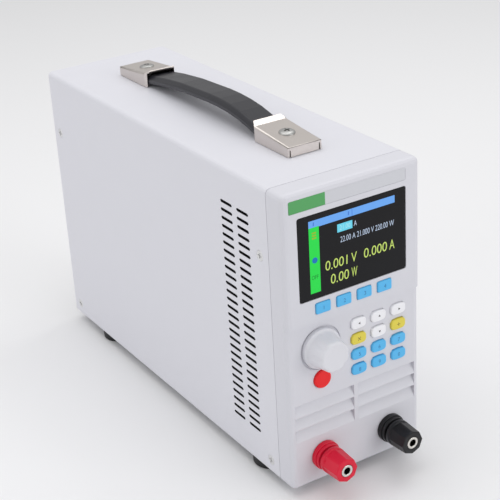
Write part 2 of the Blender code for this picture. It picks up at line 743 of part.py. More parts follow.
def build_bezel():
    """Moulded front panel: stepped faces, cut-outs, louvres and bosses."""
    overlap = 0.0030
    bm = bmesh.new()
    bezel_block(
        bm, (-HALF_WIDTH, -UPPER_PROUD, STEP_Z), (HALF_WIDTH, BEZEL_DEPTH, CASE_HEIGHT), STEP_Z)
    bezel = add_part("front_bezel", finished_mesh(bm, "front_bezel", 35), "bezel_plastic")

    bm = bmesh.new()
    bezel_block(
        bm, (-HALF_WIDTH, 0.0, 0.0), (HALF_WIDTH, BEZEL_DEPTH, STEP_Z + overlap),
        STEP_Z + overlap)
    boolean(bezel, add_cutter("lower_panel", finished_mesh(bm, "lower_panel", 35)), "UNION")

    bm = bmesh.new()
    inner = HALF_WIDTH - BEZEL_WALL
    open_y = BEZEL_DEPTH + BEZEL_WALL
    outline = [
        (PANEL_THICKNESS, BEZEL_WALL), (open_y, BEZEL_WALL), (open_y, CASE_HEIGHT - BEZEL_WALL),
        (PANEL_THICKNESS - UPPER_PROUD, CASE_HEIGHT - BEZEL_WALL),
        (PANEL_THICKNESS - UPPER_PROUD, STEP_Z + BEZEL_WALL),
        (PANEL_THICKNESS, STEP_Z + BEZEL_WALL),
    ]
    add_prism(bm, outline, "X", -inner, inner)
    boolean(bezel, add_cutter("bezel_cavity", finished_mesh(bm, "bezel_cavity")))

    bm = bmesh.new()
    front = -UPPER_PROUD - 0.001
    deep = PANEL_THICKNESS + 0.001
    window_centre, window_size = window_outline()
    pocket = WINDOW_SET_BACK + WINDOW_THICKNESS + GAP - UPPER_PROUD
    outline = rounded_rectangle(
        window_centre, (window_size[0] + 2 * GAP, window_size[1] + 2 * GAP), WINDOW_CORNER)
    add_prism(bm, outline, "Y", front, pocket)
    strip_centre = [(low + high) / 2 for low, high in zip(STRIP_LOW, STRIP_HIGH)]
    strip_size = [high - low for low, high in zip(STRIP_LOW, STRIP_HIGH)]
    outline = rounded_rectangle(strip_centre, strip_size, STRIP_DEPTH * 3)
    add_prism(bm, outline, "Y", front, STRIP_DEPTH - UPPER_PROUD)
    add_rod(
        bm, "Y", (KNOB_X, KNOB_Z), front, KNOB_RECESS_DEPTH, KNOB_RECESS_RADIUS, segments=32)
    boolean(bezel, add_cutter("front_recesses", finished_mesh(bm, "front_recesses")))

    bm = bmesh.new()
    ledge = 2 * WINDOW_LEDGE
    outline = rounded_rectangle(
        window_centre, (window_size[0] - ledge, window_size[1] - ledge), WINDOW_CORNER)
    add_prism(bm, outline, "Y", front, deep)
    for index in range(SOFT_KEY_COUNT):
        size = [value + 2 * KEY_HOLE_GAP for value in SOFT_KEY_SIZE]
        outline = rounded_rectangle(soft_key_centre(index), size, SOFT_KEY_CORNER, 2)
        add_prism(bm, outline, "Y", front, deep)
    for row, names in enumerate(KEY_ROWS):
        for column in range(len(names)):
            x, z = key_centre(row, column)
            outline = [
                (x + point[0], z + point[1])
                for point in barrel(KEY_SIZE, KEY_BULGE, KEY_CORNER, KEY_HOLE_GAP)]
            add_prism(bm, outline, "Y", front, deep)
    add_rod(bm, "Y", (KNOB_X, KNOB_Z), front, deep, BUSHING_RADIUS + GAP, segments=16)
    add_rod(bm, "Y", (BUTTON_X, BUTTON_Z), front, deep, BUTTON_RADIUS + BUTTON_GAP, segments=24)
    for side in (-1, 1):
        add_rod(
            bm, "Y", (side * POST_SPACING / 2, POST_Z), front, deep,
            POST_BUSH_RADIUS + POST_HOLE_GAP, segments=20)
    louvre_bottom = LOUVRE_TOP_Z - LOUVRE_COUNT * LOUVRE_PITCH
    add_block(
        bm, (-LOUVRE_HALF_WIDTH, front, louvre_bottom), (LOUVRE_HALF_WIDTH, deep, LOUVRE_TOP_Z))
    boolean(bezel, add_cutter("front_openings", finished_mesh(bm, "front_openings")))

    bm = bmesh.new()
    side = LOUVRE_HALF_WIDTH + BEZEL_WALL / 4
    for index in range(LOUVRE_COUNT):
        top = LOUVRE_TOP_Z - index * LOUVRE_PITCH + LOUVRE_OVERLAP
        bottom = LOUVRE_TOP_Z - (index + 1) * LOUVRE_PITCH
        lip = LOUVRE_LIP
        foot = 0.0
        if index == LOUVRE_COUNT - 1:
            lip = 0.0
            foot = LOUVRE_OVERLAP
        outline = [
            (LOUVRE_DEPTH, top), (0.0, bottom + lip), (0.0, bottom),
            (LOUVRE_BLADE, bottom - foot), (LOUVRE_DEPTH + LOUVRE_BLADE, top),
        ]
        if lip == 0.0:
            outline.pop(2)
        add_prism(bm, outline, "X", -side, side)
    boolean(bezel, add_cutter("louvre_blades", finished_mesh(bm, "louvre_blades")), "UNION")

    bm = bmesh.new()
    rib = LOUVRE_RIB_WIDTH / 2
    add_block(
        bm, (-rib, 0.0, louvre_bottom - LOUVRE_OVERLAP),
        (rib, LOUVRE_DEPTH + LOUVRE_BLADE, LOUVRE_TOP_Z + LOUVRE_OVERLAP))
    boolean(bezel, add_cutter("louvre_rib", finished_mesh(bm, "louvre_rib")), "UNION")

    bm = bmesh.new()
    for x, z in bezel_bosses():
        add_rod(
            bm, "Y", (x, z), PANEL_THICKNESS - UPPER_PROUD - 0.0005, CHASSIS_FRONT_Y - GAP,
            BEZEL_BOSS_RADIUS, segments=10)
    boolean(bezel, add_cutter("bezel_bosses", finished_mesh(bm, "bezel_bosses")), "UNION")


def window_outline():
    """Centre and size of the display window."""
    centre = [(low + high) / 2 for low, high in zip(WINDOW_LOW, WINDOW_HIGH)]
    size = [high - low for low, high in zip(WINDOW_LOW, WINDOW_HIGH)]
    return centre, size


def build_display():
    """Black window plate in its pocket, and the display module behind it."""
    centre, size = window_outline()
    bm = bmesh.new()
    front = WINDOW_SET_BACK - UPPER_PROUD
    add_prism(
        bm, rounded_rectangle(centre, size, WINDOW_CORNER), "Y", front, front + WINDOW_THICKNESS)
    add_part("display_window", finished_mesh(bm, "display_window"), "window_acrylic")

    bm = bmesh.new()
    half = [value / 2 - WINDOW_LEDGE / 2 for value in size]
    rear = CONTROL_BOARD_Y - GAP
    add_block(
        bm, (centre[0] - half[0], rear - DISPLAY_THICKNESS, centre[1] - half[1]),
        (centre[0] + half[0], rear, centre[1] + half[1]))
    module = add_part("display_module", finished_mesh(bm, "display_module"), "display_metal")
    bm = bmesh.new()
    rim = 0.0030
    glass = 0.0006
    add_block(
        bm, (centre[0] - half[0] + rim, rear - DISPLAY_THICKNESS - glass, centre[1] - half[1] + rim),
        (centre[0] + half[0] - rim, rear - DISPLAY_THICKNESS + glass, centre[1] + half[1] - rim))
    boolean(module, add_cutter("display_glass", finished_mesh(bm, "display_glass")), "UNION")


def tact_places():
    """X and Z of the tact switch behind each key."""
    for index in range(SOFT_KEY_COUNT):
        yield soft_key_centre(index)
    for row, names in enumerate(KEY_ROWS):
        for column in range(len(names)):
            yield key_centre(row, column)


def tact_front_y():
    """Y of the front of the tact switches' plungers."""
    return CONTROL_BOARD_Y - TACT_HEIGHT - TACT_PLUNGER_HEIGHT


def build_control_board():
    """Printed board with its tact switches and a cut-out for the power switch."""
    bm = bmesh.new()
    add_block(
        bm, (CONTROL_BOARD_LOW[0], CONTROL_BOARD_Y, CONTROL_BOARD_LOW[1]),
        (CONTROL_BOARD_HIGH[0], BOARD_REAR_Y, CONTROL_BOARD_HIGH[1]))
    board = add_part("control_board", finished_mesh(bm, "control_board"), "board_green")
    bm = bmesh.new()
    half = SWITCH_SIZE / 2 + GAP
    add_block(
        bm, (BUTTON_X - half, CONTROL_BOARD_Y - GAP, CONTROL_BOARD_LOW[1] - GAP),
        (BUTTON_X + half, BOARD_REAR_Y + GAP, BUTTON_Z + half))
    boolean(board, add_cutter("switch_cut_out", finished_mesh(bm, "switch_cut_out")))
    bm = bmesh.new()
    half = TACT_SIZE / 2
    sink = BOARD_THICKNESS / 4
    for x, z in tact_places():
        add_block(
            bm, (x - half, CONTROL_BOARD_Y - TACT_HEIGHT, z - half),
            (x + half, CONTROL_BOARD_Y + sink, z + half))
    boolean(board, add_cutter("tact_bodies", finished_mesh(bm, "tact_bodies")), "UNION")
    bm = bmesh.new()
    for x, z in tact_places():
        add_rod(
            bm, "Y", (x, z), tact_front_y(), CONTROL_BOARD_Y - TACT_HEIGHT + sink,
            TACT_PLUNGER_RADIUS, segments=6)
    boolean(board, add_cutter("tact_plungers", finished_mesh(bm, "tact_plungers")), "UNION")


def add_key(name, x, z, finish, outline, size, proud, wall_rear):
    """Add one key: a cap with a softened front edge and a retaining flange behind the panel."""
    bm = bmesh.new()
    verts = add_prism(bm, outline, "Y", -proud, wall_rear + 2 * GAP)
    front = [
        edge for edge in {edge for vert in verts for edge in vert.link_edges}
        if all(abs(vert.co.y + proud) < 1e-7 for vert in edge.verts)]
    bevel_edges(bm, front, KEY_EDGE, 1)
    key = add_part(name, finished_mesh(bm, name, 40), finish, (x, 0.0, z))

    bm = bmesh.new()
    start = wall_rear + GAP
    middle = start + KEY_FLANGE_THICKNESS
    half_x = size[0] / 2 + KEY_FLANGE_LIP
    half_z = size[1] / 2 + KEY_FLANGE_LIP
    add_block(bm, (-half_x, start, -half_z), (half_x, middle, half_z))
    flange = add_cutter(name + "_flange", finished_mesh(bm, name + "_flange"), (x, 0.0, z))
    boolean(key, flange, "UNION")

    bm = bmesh.new()
    end = tact_front_y() - KEY_TRAVEL - GAP
    half = TACT_PLUNGER_RADIUS
    add_block(bm, (-half, start + GAP, -half), (half, end, half))
    stem = add_cutter(name + "_stem", finished_mesh(bm, name + "_stem"), (x, 0.0, z))
    boolean(key, stem, "UNION")


def build_keys():
    """Four rectangular keys under the display and a block of twelve barrel-shaped ones."""
    upper_rear = PANEL_THICKNESS - UPPER_PROUD
    for index in range(SOFT_KEY_COUNT):
        x, z = soft_key_centre(index)
        add_key(
            "soft_key_%d" % (index + 1), x, z, "blue_key",
            rounded_rectangle((0.0, 0.0), SOFT_KEY_SIZE, SOFT_KEY_CORNER, 2),
            SOFT_KEY_SIZE, SOFT_KEY_PROUD + UPPER_PROUD, upper_rear)
    for row, names in enumerate(KEY_ROWS):
        for column, name in enumerate(names):
            x, z = key_centre(row, column)
            finish = "blue_key"
            if name in WHITE_KEYS:
                finish = "white_key"
            if name in YELLOW_KEYS:
                finish = "yellow_key"
            add_key(
                name, x, z, finish, barrel(KEY_SIZE, KEY_BULGE, KEY_CORNER), KEY_SIZE,
                KEY_PROUD, PANEL_THICKNESS)


def build_knob():
    """Knob with a skirt and finger flutes, on the encoder's shaft."""
    place = (KNOB_X, 0.0, KNOB_Z)
    skirt_rear = -(KNOB_RECESS_DEPTH - GAP)
    round_over = 0.0012
    bore = SHAFT_RADIUS + SHAFT_GAP
    wall = 0.0015
    profile = [(0.0, KNOB_REACH)]
    profile += arc(
        (KNOB_FRONT_RADIUS - round_over, KNOB_REACH - round_over), round_over, 90, 8, 2)
    profile += [
        (KNOB_BODY_RADIUS, KNOB_SKIRT_FRONT + 0.0006),
        (KNOB_SKIRT_RADIUS, KNOB_SKIRT_FRONT),
        (KNOB_SKIRT_RADIUS, skirt_rear),
        (KNOB_SKIRT_RADIUS - wall, skirt_rear),
        (KNOB_SKIRT_RADIUS - wall, skirt_rear + wall),
        (bore + wall, skirt_rear + wall),
        (bore + wall, skirt_rear + GAP),
        (bore, skirt_rear + GAP),
        (bore, KNOB_REACH - 0.0030),
        (0.0, KNOB_REACH - 0.0030),
    ]
    knob = turned(
        "knob", profile, 24, add_part, place, FACING_FRONT, finish="knob_plastic")

    bm = bmesh.new()
    reach = KNOB_FLUTE_RADIUS - KNOB_FLUTE_DEPTH
    for index in range(KNOB_FLUTES):
        angle = 2 * pi * index / KNOB_FLUTES
        far = KNOB_BODY_RADIUS + reach
        near = KNOB_FRONT_RADIUS + reach
        made = bmesh.ops.create_cone(
            bm, cap_ends=True, segments=8, radius1=KNOB_FLUTE_RADIUS, radius2=KNOB_FLUTE_RADIUS,
            depth=KNOB_REACH)["verts"]
        start = KNOB_SKIRT_FRONT + 0.0012
        lean = (far - near) / (KNOB_REACH - start)
        matrix = Matrix.Rotation(angle, 4, "Z")
        shear = Matrix.Identity(4)
        shear[0][2] = -lean
        bmesh.ops.transform(
            bm, verts=made,
            matrix=matrix @ Matrix.Translation((far, 0.0, start)) @ shear
            @ Matrix.Translation((0.0, 0.0, KNOB_REACH / 2)))
    flutes = add_cutter("knob_flutes", finished_mesh(bm, "knob_flutes"), place, FACING_FRONT)
    boolean(knob, flutes)

    shaft_front = -(KNOB_REACH - 0.0030 - GAP)
    shaft_rear = CONTROL_BOARD_Y - 0.0020
    bm = bmesh.new()
    add_rod(bm, "Y", (0.0, 0.0), shaft_front, shaft_rear, SHAFT_RADIUS, segments=16)
    add_part("encoder_shaft", finished_mesh(bm, "encoder_shaft", 30), "nickel", place)

    bm = bmesh.new()
    half = ENCODER_SIZE / 2
    body_front = PANEL_THICKNESS + 0.0014
    add_block(bm, (-half, body_front, -half), (half, CONTROL_BOARD_Y - GAP, half))
    encoder = add_part(
        "encoder_body", finished_mesh(bm, "encoder_body"), "display_metal", place)
    bm = bmesh.new()
    add_rod(
        bm, "Y", (0.0, 0.0), KNOB_RECESS_DEPTH, body_front + 0.0005, BUSHING_RADIUS, segments=16)
    bushing = add_cutter("encoder_bushing", finished_mesh(bm, "encoder_bushing"), place)
    boolean(encoder, bushing, "UNION")
    bm = bmesh.new()
    add_rod(
        bm, "Y", (0.0, 0.0), -KNOB_RECESS_DEPTH, shaft_rear + GAP, SHAFT_RADIUS + SHAFT_GAP,
        segments=16)
    boolean(encoder, add_cutter("encoder_bore", finished_mesh(bm, "encoder_bore"), place))


def build_power_button():
    """Round push button, drawn latched in, and the switch that it works."""
    place = (BUTTON_X, 0.0, BUTTON_Z)
    chamfer = 0.0005
    head_rear = PANEL_THICKNESS + 0.0009
    stem_rear = SWITCH_FRONT_Y + BUTTON_TRAVEL + GAP
    profile = [
        (0.0, BUTTON_PROUD),
        (BUTTON_RADIUS - chamfer, BUTTON_PROUD),
        (BUTTON_RADIUS, BUTTON_PROUD - chamfer),
        (BUTTON_RADIUS, -head_rear),
        (BUTTON_STEM_RADIUS, -head_rear),
        (BUTTON_STEM_RADIUS, -stem_rear),
        (0.0, -stem_rear),
    ]
    turned("power_button", profile, 20, add_part, place, FACING_FRONT, finish="red_button")

    bm = bmesh.new()
    half = SWITCH_SIZE / 2
    add_block(bm, (-half, SWITCH_FRONT_Y, -half), (half, CHASSIS_FRONT_Y - GAP, half))
    switch = add_part("power_switch", finished_mesh(bm, "power_switch"), "black_plastic", place)
    bm = bmesh.new()
    add_rod(
        bm, "Y", (0.0, 0.0), SWITCH_FRONT_Y - GAP, stem_rear + BUTTON_TRAVEL / 2,
        BUTTON_STEM_RADIUS + GAP, segments=10)
    boolean(switch, add_cutter("switch_bore", finished_mesh(bm, "switch_bore"), place))


def build_binding_post(colour, side):
    """Insulated base, nickel-plated stud with a 4 mm socket, clamp washer and screwed cap."""
    place = (side * POST_SPACING / 2, 0.0, POST_Z)
    finish = colour + "_post"
    base_front = GAP + POST_FLANGE_THICKNESS + POST_COLLAR_THICKNESS
    stud = POST_STUD_RADIUS
    rear = -(CHASSIS_FRONT_Y - GAP)
    profile = [
        (stud + GAP, base_front),
        (POST_COLLAR_RADIUS, base_front),
        (POST_COLLAR_RADIUS, GAP + POST_FLANGE_THICKNESS),
        (POST_FLANGE_RADIUS - 0.0005, GAP + POST_FLANGE_THICKNESS),
        (POST_FLANGE_RADIUS, GAP + POST_FLANGE_THICKNESS - 0.0005),
        (POST_FLANGE_RADIUS, GAP),
        (POST_BUSH_RADIUS, GAP),
        (POST_BUSH_RADIUS, rear),
        (stud + GAP, rear),
    ]
    turned(
        colour + "_post_base", profile, 16, add_part, place, FACING_FRONT, closed=True,
        finish=finish)

    nut_front = -(CHASSIS_FRONT_Y + CHASSIS_SHEET + GAP)
    tail = nut_front - POST_TAIL
    bore_end = POST_REACH - POST_BORE_DEPTH
    profile = [
        (POST_BORE_RADIUS + 0.0003, POST_REACH),
        (stud - 0.0003, POST_REACH),
        (stud, POST_REACH - 0.0003),
        (stud, nut_front),
        (POST_NUT_RADIUS, nut_front),
        (POST_NUT_RADIUS, nut_front - POST_NUT_THICKNESS),
        (stud * 0.7, nut_front - POST_NUT_THICKNESS),
        (stud * 0.7, tail),
        (0.0, tail),
    ]
    inside = [
        (0.0, bore_end),
        (POST_BORE_RADIUS, bore_end + 0.0008),
        (POST_BORE_RADIUS, POST_REACH - 0.0003),
    ]
    turned(
        colour + "_post_stud", inside + profile, 12, add_part, place, FACING_FRONT,
        finish="nickel")

    washer_rear = base_front + GAP
    washer_front = washer_rear + POST_WASHER_THICKNESS
    profile = [
        (stud + GAP, washer_front),
        (POST_WASHER_RADIUS, washer_front),
        (POST_WASHER_RADIUS, washer_rear),
        (stud + GAP, washer_rear),
    ]
    turned(
        colour + "_post_washer", profile, 12, add_part, place, FACING_FRONT, closed=True,
        finish="nickel")

    cap_rear = washer_front + GAP
    cap_front = POST_REACH - POST_CAP_INSET
    bm = bmesh.new()
    verts = bmesh.ops.create_cone(
        bm, cap_ends=True, segments=POST_CAP_SIDES, radius1=POST_CAP_RADIUS,
        radius2=POST_CAP_FRONT_RADIUS, depth=cap_front - cap_rear - POST_CAP_RING)["verts"]
    middle = (cap_front + cap_rear + POST_CAP_RING) / 2
    bmesh.ops.translate(bm, vec=(0.0, 0.0, middle), verts=verts)
    front = [
        edge for edge in bm.edges
        if all(abs(vert.co.z - cap_front) < 1e-7 for vert in edge.verts)]
    bevel_edges(bm, front, 0.0006, 1)
    cap = add_part(
        colour + "_post_cap", finished_mesh(bm, colour + "_post_cap"), finish, place, FACING_FRONT)
    groove = 0.0006
    profile = [
        (0.0, cap_rear + POST_CAP_RING + 0.0003),
        (POST_CAP_RADIUS - groove, cap_rear + POST_CAP_RING + 0.0003),
        (POST_CAP_RADIUS - groove, cap_rear + POST_CAP_RING - groove),
        (POST_CAP_RADIUS, cap_rear + POST_CAP_RING - 2 * groove),
        (POST_CAP_RADIUS, cap_rear),
        (0.0, cap_rear),
    ]
    ring = turned(
        colour + "_cap_ring", profile, 16, add_cutter, place, FACING_FRONT)
    boolean(cap, ring, "UNION")
    bm = bmesh.new()
    verts = bmesh.ops.create_cone(
        bm, cap_ends=True, segments=12, radius1=stud + GAP, radius2=stud + GAP,
        depth=2 * POST_REACH)["verts"]
    bmesh.ops.translate(bm, vec=(0.0, 0.0, POST_REACH), verts=verts)
    bore = add_cutter(
        colour + "_cap_bore", finished_mesh(bm, colour + "_cap_bore"), place, FACING_FRONT)
    boolean(cap, bore)


def build_feet():
    """Round rubber feet, each with a spigot up to the chassis floor."""
    places = {
        "front_left": (-FOOT_X, FOOT_FRONT_Y),
        "front_right": (FOOT_X, FOOT_FRONT_Y),
        "rear_left": (-FOOT_X, FOOT_REAR_Y),
        "rear_right": (FOOT_X, FOOT_REAR_Y),
    }
    profile = [
        (0.0, CHASSIS_FLOOR_Z - GAP),
        (FOOT_SPIGOT_RADIUS, CHASSIS_FLOOR_Z - GAP),
        (FOOT_SPIGOT_RADIUS, -GAP),
        (FOOT_RADIUS, -GAP),
    ]
    profile += arc(
        (FOOT_RADIUS - FOOT_ROUNDING, FOOT_ROUNDING - FOOT_HEIGHT), FOOT_ROUNDING, 0, -90, 2)
    profile.append((0.0, -FOOT_HEIGHT))
    for name, (x, y) in places.items():
        turned(
            "foot_" + name, profile, 12, add_part, (x, y, 0.0), (0.0, 0.0, 0.0),
            finish="foot_rubber")


def handle_cap_outline(front, direction):
    """Side outline of a handle cap as (y, z) points above the cover, from its outer end."""
    crease = front + direction * HANDLE_CAP_LENGTH
    tip = crease + direction * HANDLE_CAP_LIP
    return crease, tip


def build_handle_cap(name, front, direction):
    """Pressed steel cap: open below and at its inner end, with a raised and tapered lip."""
    crease, tip = handle_cap_outline(front, direction)
    base = CASE_HEIGHT + GAP
    low = CASE_HEIGHT + HANDLE_CAP_LOW
    high = CASE_HEIGHT + HANDLE_CAP_HIGH
    peak = high + HANDLE_CAP_RISE
    half = HANDLE_CAP_WIDTH / 2
    sheet = HANDLE_CAP_SHEET
    bm = bmesh.new()
    outline = [(front, base), (front, low), (crease, high), (tip, peak), (tip, base)]
    if direction < 0:
        outline.reverse()
    add_prism(bm, outline, "X", -half, half)
    top_edges = [
        edge for edge in bm.edges
        if all(vert.co.z > base + sheet for vert in edge.verts)
        and abs(edge.verts[0].co.x - edge.verts[1].co.x) < 1e-7]
    bevel_edges(bm, top_edges, 0.0009, 2)
    cap = add_part(name, finished_mesh(bm, name, 30), "satin_steel")

    bm = bmesh.new()
    inner = half - sheet
    inside_front = front + direction * sheet
    beyond = tip + direction * 0.002
    rise = (high - low) / HANDLE_CAP_LENGTH
    outline = [
        (inside_front, base - 0.002), (inside_front, low - sheet + rise * sheet),
        (crease, high - sheet), (tip, peak - sheet),
        (beyond, peak - sheet + HANDLE_CAP_RISE * 0.002 / HANDLE_CAP_LIP), (beyond, base - 0.002),
    ]
    if direction < 0:
        outline.reverse()
    add_prism(bm, outline, "X", -inner, inner)
    boolean(cap, add_cutter(name + "_hollow", finished_mesh(bm, name + "_hollow")))

    bm = bmesh.new()
    for side in (-1, 1):
        near = side * (inner + sheet / 8)
        far = near - side * HANDLE_CAP_SLIT
        add_block(
            bm, (min(near, far), min(front - direction * sheet, inside_front + direction * GAP), base - sheet),
            (max(near, far), max(front - direction * sheet, inside_front + direction * GAP), low - 1.5 * sheet))
    boolean(cap, add_cutter(name + "_slits", finished_mesh(bm, name + "_slits")))

    bm = bmesh.new()
    for side in (-1, 1):
        taper = [
            (side * (half + sheet), crease), (side * half, crease),
            (side * (half - HANDLE_CAP_TAPER), tip),
            (side * (half - HANDLE_CAP_TAPER), beyond), (side * (half + sheet), beyond),
        ]
        add_prism(bm, taper, "Z", base - 0.002, peak + 0.002)
    boolean(cap, add_cutter(name + "_taper", finished_mesh(bm, name + "_taper")))

    bm = bmesh.new()
    screw_y = front + direction * HANDLE_SCREW_INSET
    add_rod(
        bm, "Z", (0.0, screw_y), base, peak + 0.002, HANDLE_SHANK_RADIUS + GAP, segments=12)
    boolean(cap, add_cutter(name + "_hole", finished_mesh(bm, name + "_hole")))


def handle_seat_z():
    """Height of the cap's top at its screw."""
    rise = (HANDLE_CAP_HIGH - HANDLE_CAP_LOW) * HANDLE_SCREW_INSET / HANDLE_CAP_LENGTH
    return CASE_HEIGHT + HANDLE_CAP_LOW + rise


def build_handle_screws():
    """Round-headed screws with a cross recess, through the caps and the cover."""
    seat = handle_seat_z() + GAP
    tilt = (HANDLE_CAP_HIGH - HANDLE_CAP_LOW) * HANDLE_HEAD_RADIUS / HANDLE_CAP_LENGTH
    bottom = CASE_HEIGHT - 0.0050
    dome = HANDLE_HEAD_HEIGHT
    for name, y in zip(("handle_screw_front", "handle_screw_rear"), handle_screw_ys()):
        profile = [
            (0.0, dome + tilt),
            (HANDLE_HEAD_RADIUS * 0.75, dome * 0.85 + tilt),
            (HANDLE_HEAD_RADIUS, dome * 0.3 + tilt),
            (HANDLE_HEAD_RADIUS, tilt),
            (HANDLE_SHANK_RADIUS, tilt),
            (HANDLE_SHANK_RADIUS, bottom - seat),
            (0.0, bottom - seat),
        ]
        place = (0.0, y, seat)
        screw = turned(
            name, profile, 14, add_part, place, (0.0, 0.0, 0.0), finish="plated_steel")
        bm = bmesh.new()
        blade = 0.0004
        arm = HANDLE_HEAD_RADIUS * 0.55
        outline = [
            (blade, blade), (blade, arm), (-blade, arm), (-blade, blade), (-arm, blade),
            (-arm, -blade), (-blade, -blade), (-blade, -arm), (blade, -arm), (blade, -blade),
            (arm, -blade), (arm, blade),
        ]
        add_prism(bm, outline, "Z", tilt + dome * 0.3, tilt + 2 * dome)
        boolean(screw, add_cutter(name + "_cross", finished_mesh(bm, name + "_cross"), place))


def strap_section(y):
    """Height of the strap's underside above the cover's clearance, and its thickness."""
    first = HANDLE_FRONT_Y + HANDLE_CAP_LENGTH
    last = HANDLE_REAR_Y - HANDLE_CAP_LENGTH
    if first <= y <= last:
        along = (2 * y - first - last) / (last - first)
        crown = STRAP_CROWN * (1 - abs(along) ** STRAP_CROWN_POWER)
        swell = STRAP_FORWARD_SWELL * along * (along * along - 1)
        return STRAP_EDGE_BOTTOM + crown + swell, STRAP_THICKNESS
    outward = max(first - y, y - last) / (HANDLE_CAP_LENGTH - HANDLE_SCREW_INSET)
    outward = min(1.0, outward * 1.6)
    bottom = STRAP_EDGE_BOTTOM + (STRAP_TONGUE_BOTTOM - STRAP_EDGE_BOTTOM) * outward
    return bottom, STRAP_THICKNESS + (STRAP_TONGUE - STRAP_THICKNESS) * outward


def build_strap():
    """Arched rubber strap with chamfered upper edges and a slotted tongue at each end."""
    first = HANDLE_FRONT_Y + STRAP_END_INSET
    last = HANDLE_REAR_Y - STRAP_END_INSET
    half = STRAP_WIDTH / 2
    flat = STRAP_TOP_WIDTH / 2
    bm = bmesh.new()
    previous = None
    for step in range(STRAP_STEPS + 1):
        y = first + (last - first) * step / STRAP_STEPS
        bottom, thickness = strap_section(y)
        shoulder = thickness * 0.55
        section = [
            (-half, 0.0), (half, 0.0), (half, shoulder), (flat, thickness),
            (-flat, thickness), (-half, shoulder),
        ]
        z = CASE_HEIGHT + GAP + bottom
        loop = [bm.verts.new((x, y, z + rise)) for x, rise in section]
        edges = [bm.edges.new((vert, loop[index - 1])) for index, vert in enumerate(loop)]
        if previous:
            bmesh.ops.bridge_loops(bm, edges=previous + edges)
        else:
            bm.faces.new(loop)
        previous = edges
    bm.faces.new(loop)
    strap = add_part("handle_strap", finished_mesh(bm, "handle_strap", 25), "strap_rubber")
    bm = bmesh.new()
    for y in handle_screw_ys():
        outline = [
            (point[1], point[0] + y)
            for point in stadium((0.0, 0.0), STRAP_SLOT, STRAP_SLOT_WIDTH, 3)]
        add_prism(bm, outline, "Z", CASE_HEIGHT - 0.002, CASE_HEIGHT + 0.020)
    boolean(strap, add_cutter("strap_slots", finished_mesh(bm, "strap_slots")))


def build_rear_panel():
    """Flat rear panel with side ears, fan opening and inlet cut-out."""
    half = CHASSIS_HALF_WIDTH
    bottom = CHASSIS_FLOOR_Z
    top = CASE_HEIGHT - SHEET - GAP
    cut = CASE_CORNER_RADIUS * 0.75
    bm = bmesh.new()
    corner_cut_plate(bm, half, bottom, top, cut, True, REAR_INNER_Y, REAR_FACE_Y)
    panel = add_part("rear_panel", finished_mesh(bm, "rear_panel"), "case_paint")
    bm = bmesh.new()
    for side in (-1, 1):
        edge = side * (half - CHASSIS_SHEET / 4)
        inner = edge - side * CHASSIS_SHEET
        add_block(
            bm, (min(edge, inner), REAR_FACE_Y - CHASSIS_EAR_DEPTH,
                 bottom + CHASSIS_FLANGE_HEIGHT + CHASSIS_SHEET),
            (max(edge, inner), REAR_FACE_Y - CHASSIS_SHEET / 2, top - cut))
    boolean(panel, add_cutter("rear_ears", finished_mesh(bm, "rear_ears")), "UNION")
    bm = bmesh.new()
    near = REAR_INNER_Y - 0.001
    far = REAR_FACE_Y + 0.001
    add_rod(bm, "Y", (0.0, FAN_Z), near, far, FAN_BORE_RADIUS, segments=24)
    for x in (-FAN_HOLE_SPACING / 2, FAN_HOLE_SPACING / 2):
        for z in (FAN_Z - FAN_HOLE_SPACING / 2, FAN_Z + FAN_HOLE_SPACING / 2):
            add_rod(bm, "Y", (x, z), near, far, FAN_CORNER_HOLE, segments=8)
    half_x = INLET_BODY[0] / 2 + GAP
    half_z = INLET_BODY[1] / 2 + GAP
    add_block(
        bm, (INLET_X - half_x, near, INLET_Z - half_z), (INLET_X + half_x, far, INLET_Z + half_z))
    for side in (-1, 1):
        add_rod(
            bm, "X", (SCREW_REAR_Y, SCREW_HIGH_Z), side * half - 2 * CHASSIS_SHEET,
            side * half + 2 * CHASSIS_SHEET, SCREW_SHANK_RADIUS + GAP, segments=8)
    boolean(panel, add_cutter("rear_holes", finished_mesh(bm, "rear_holes")))


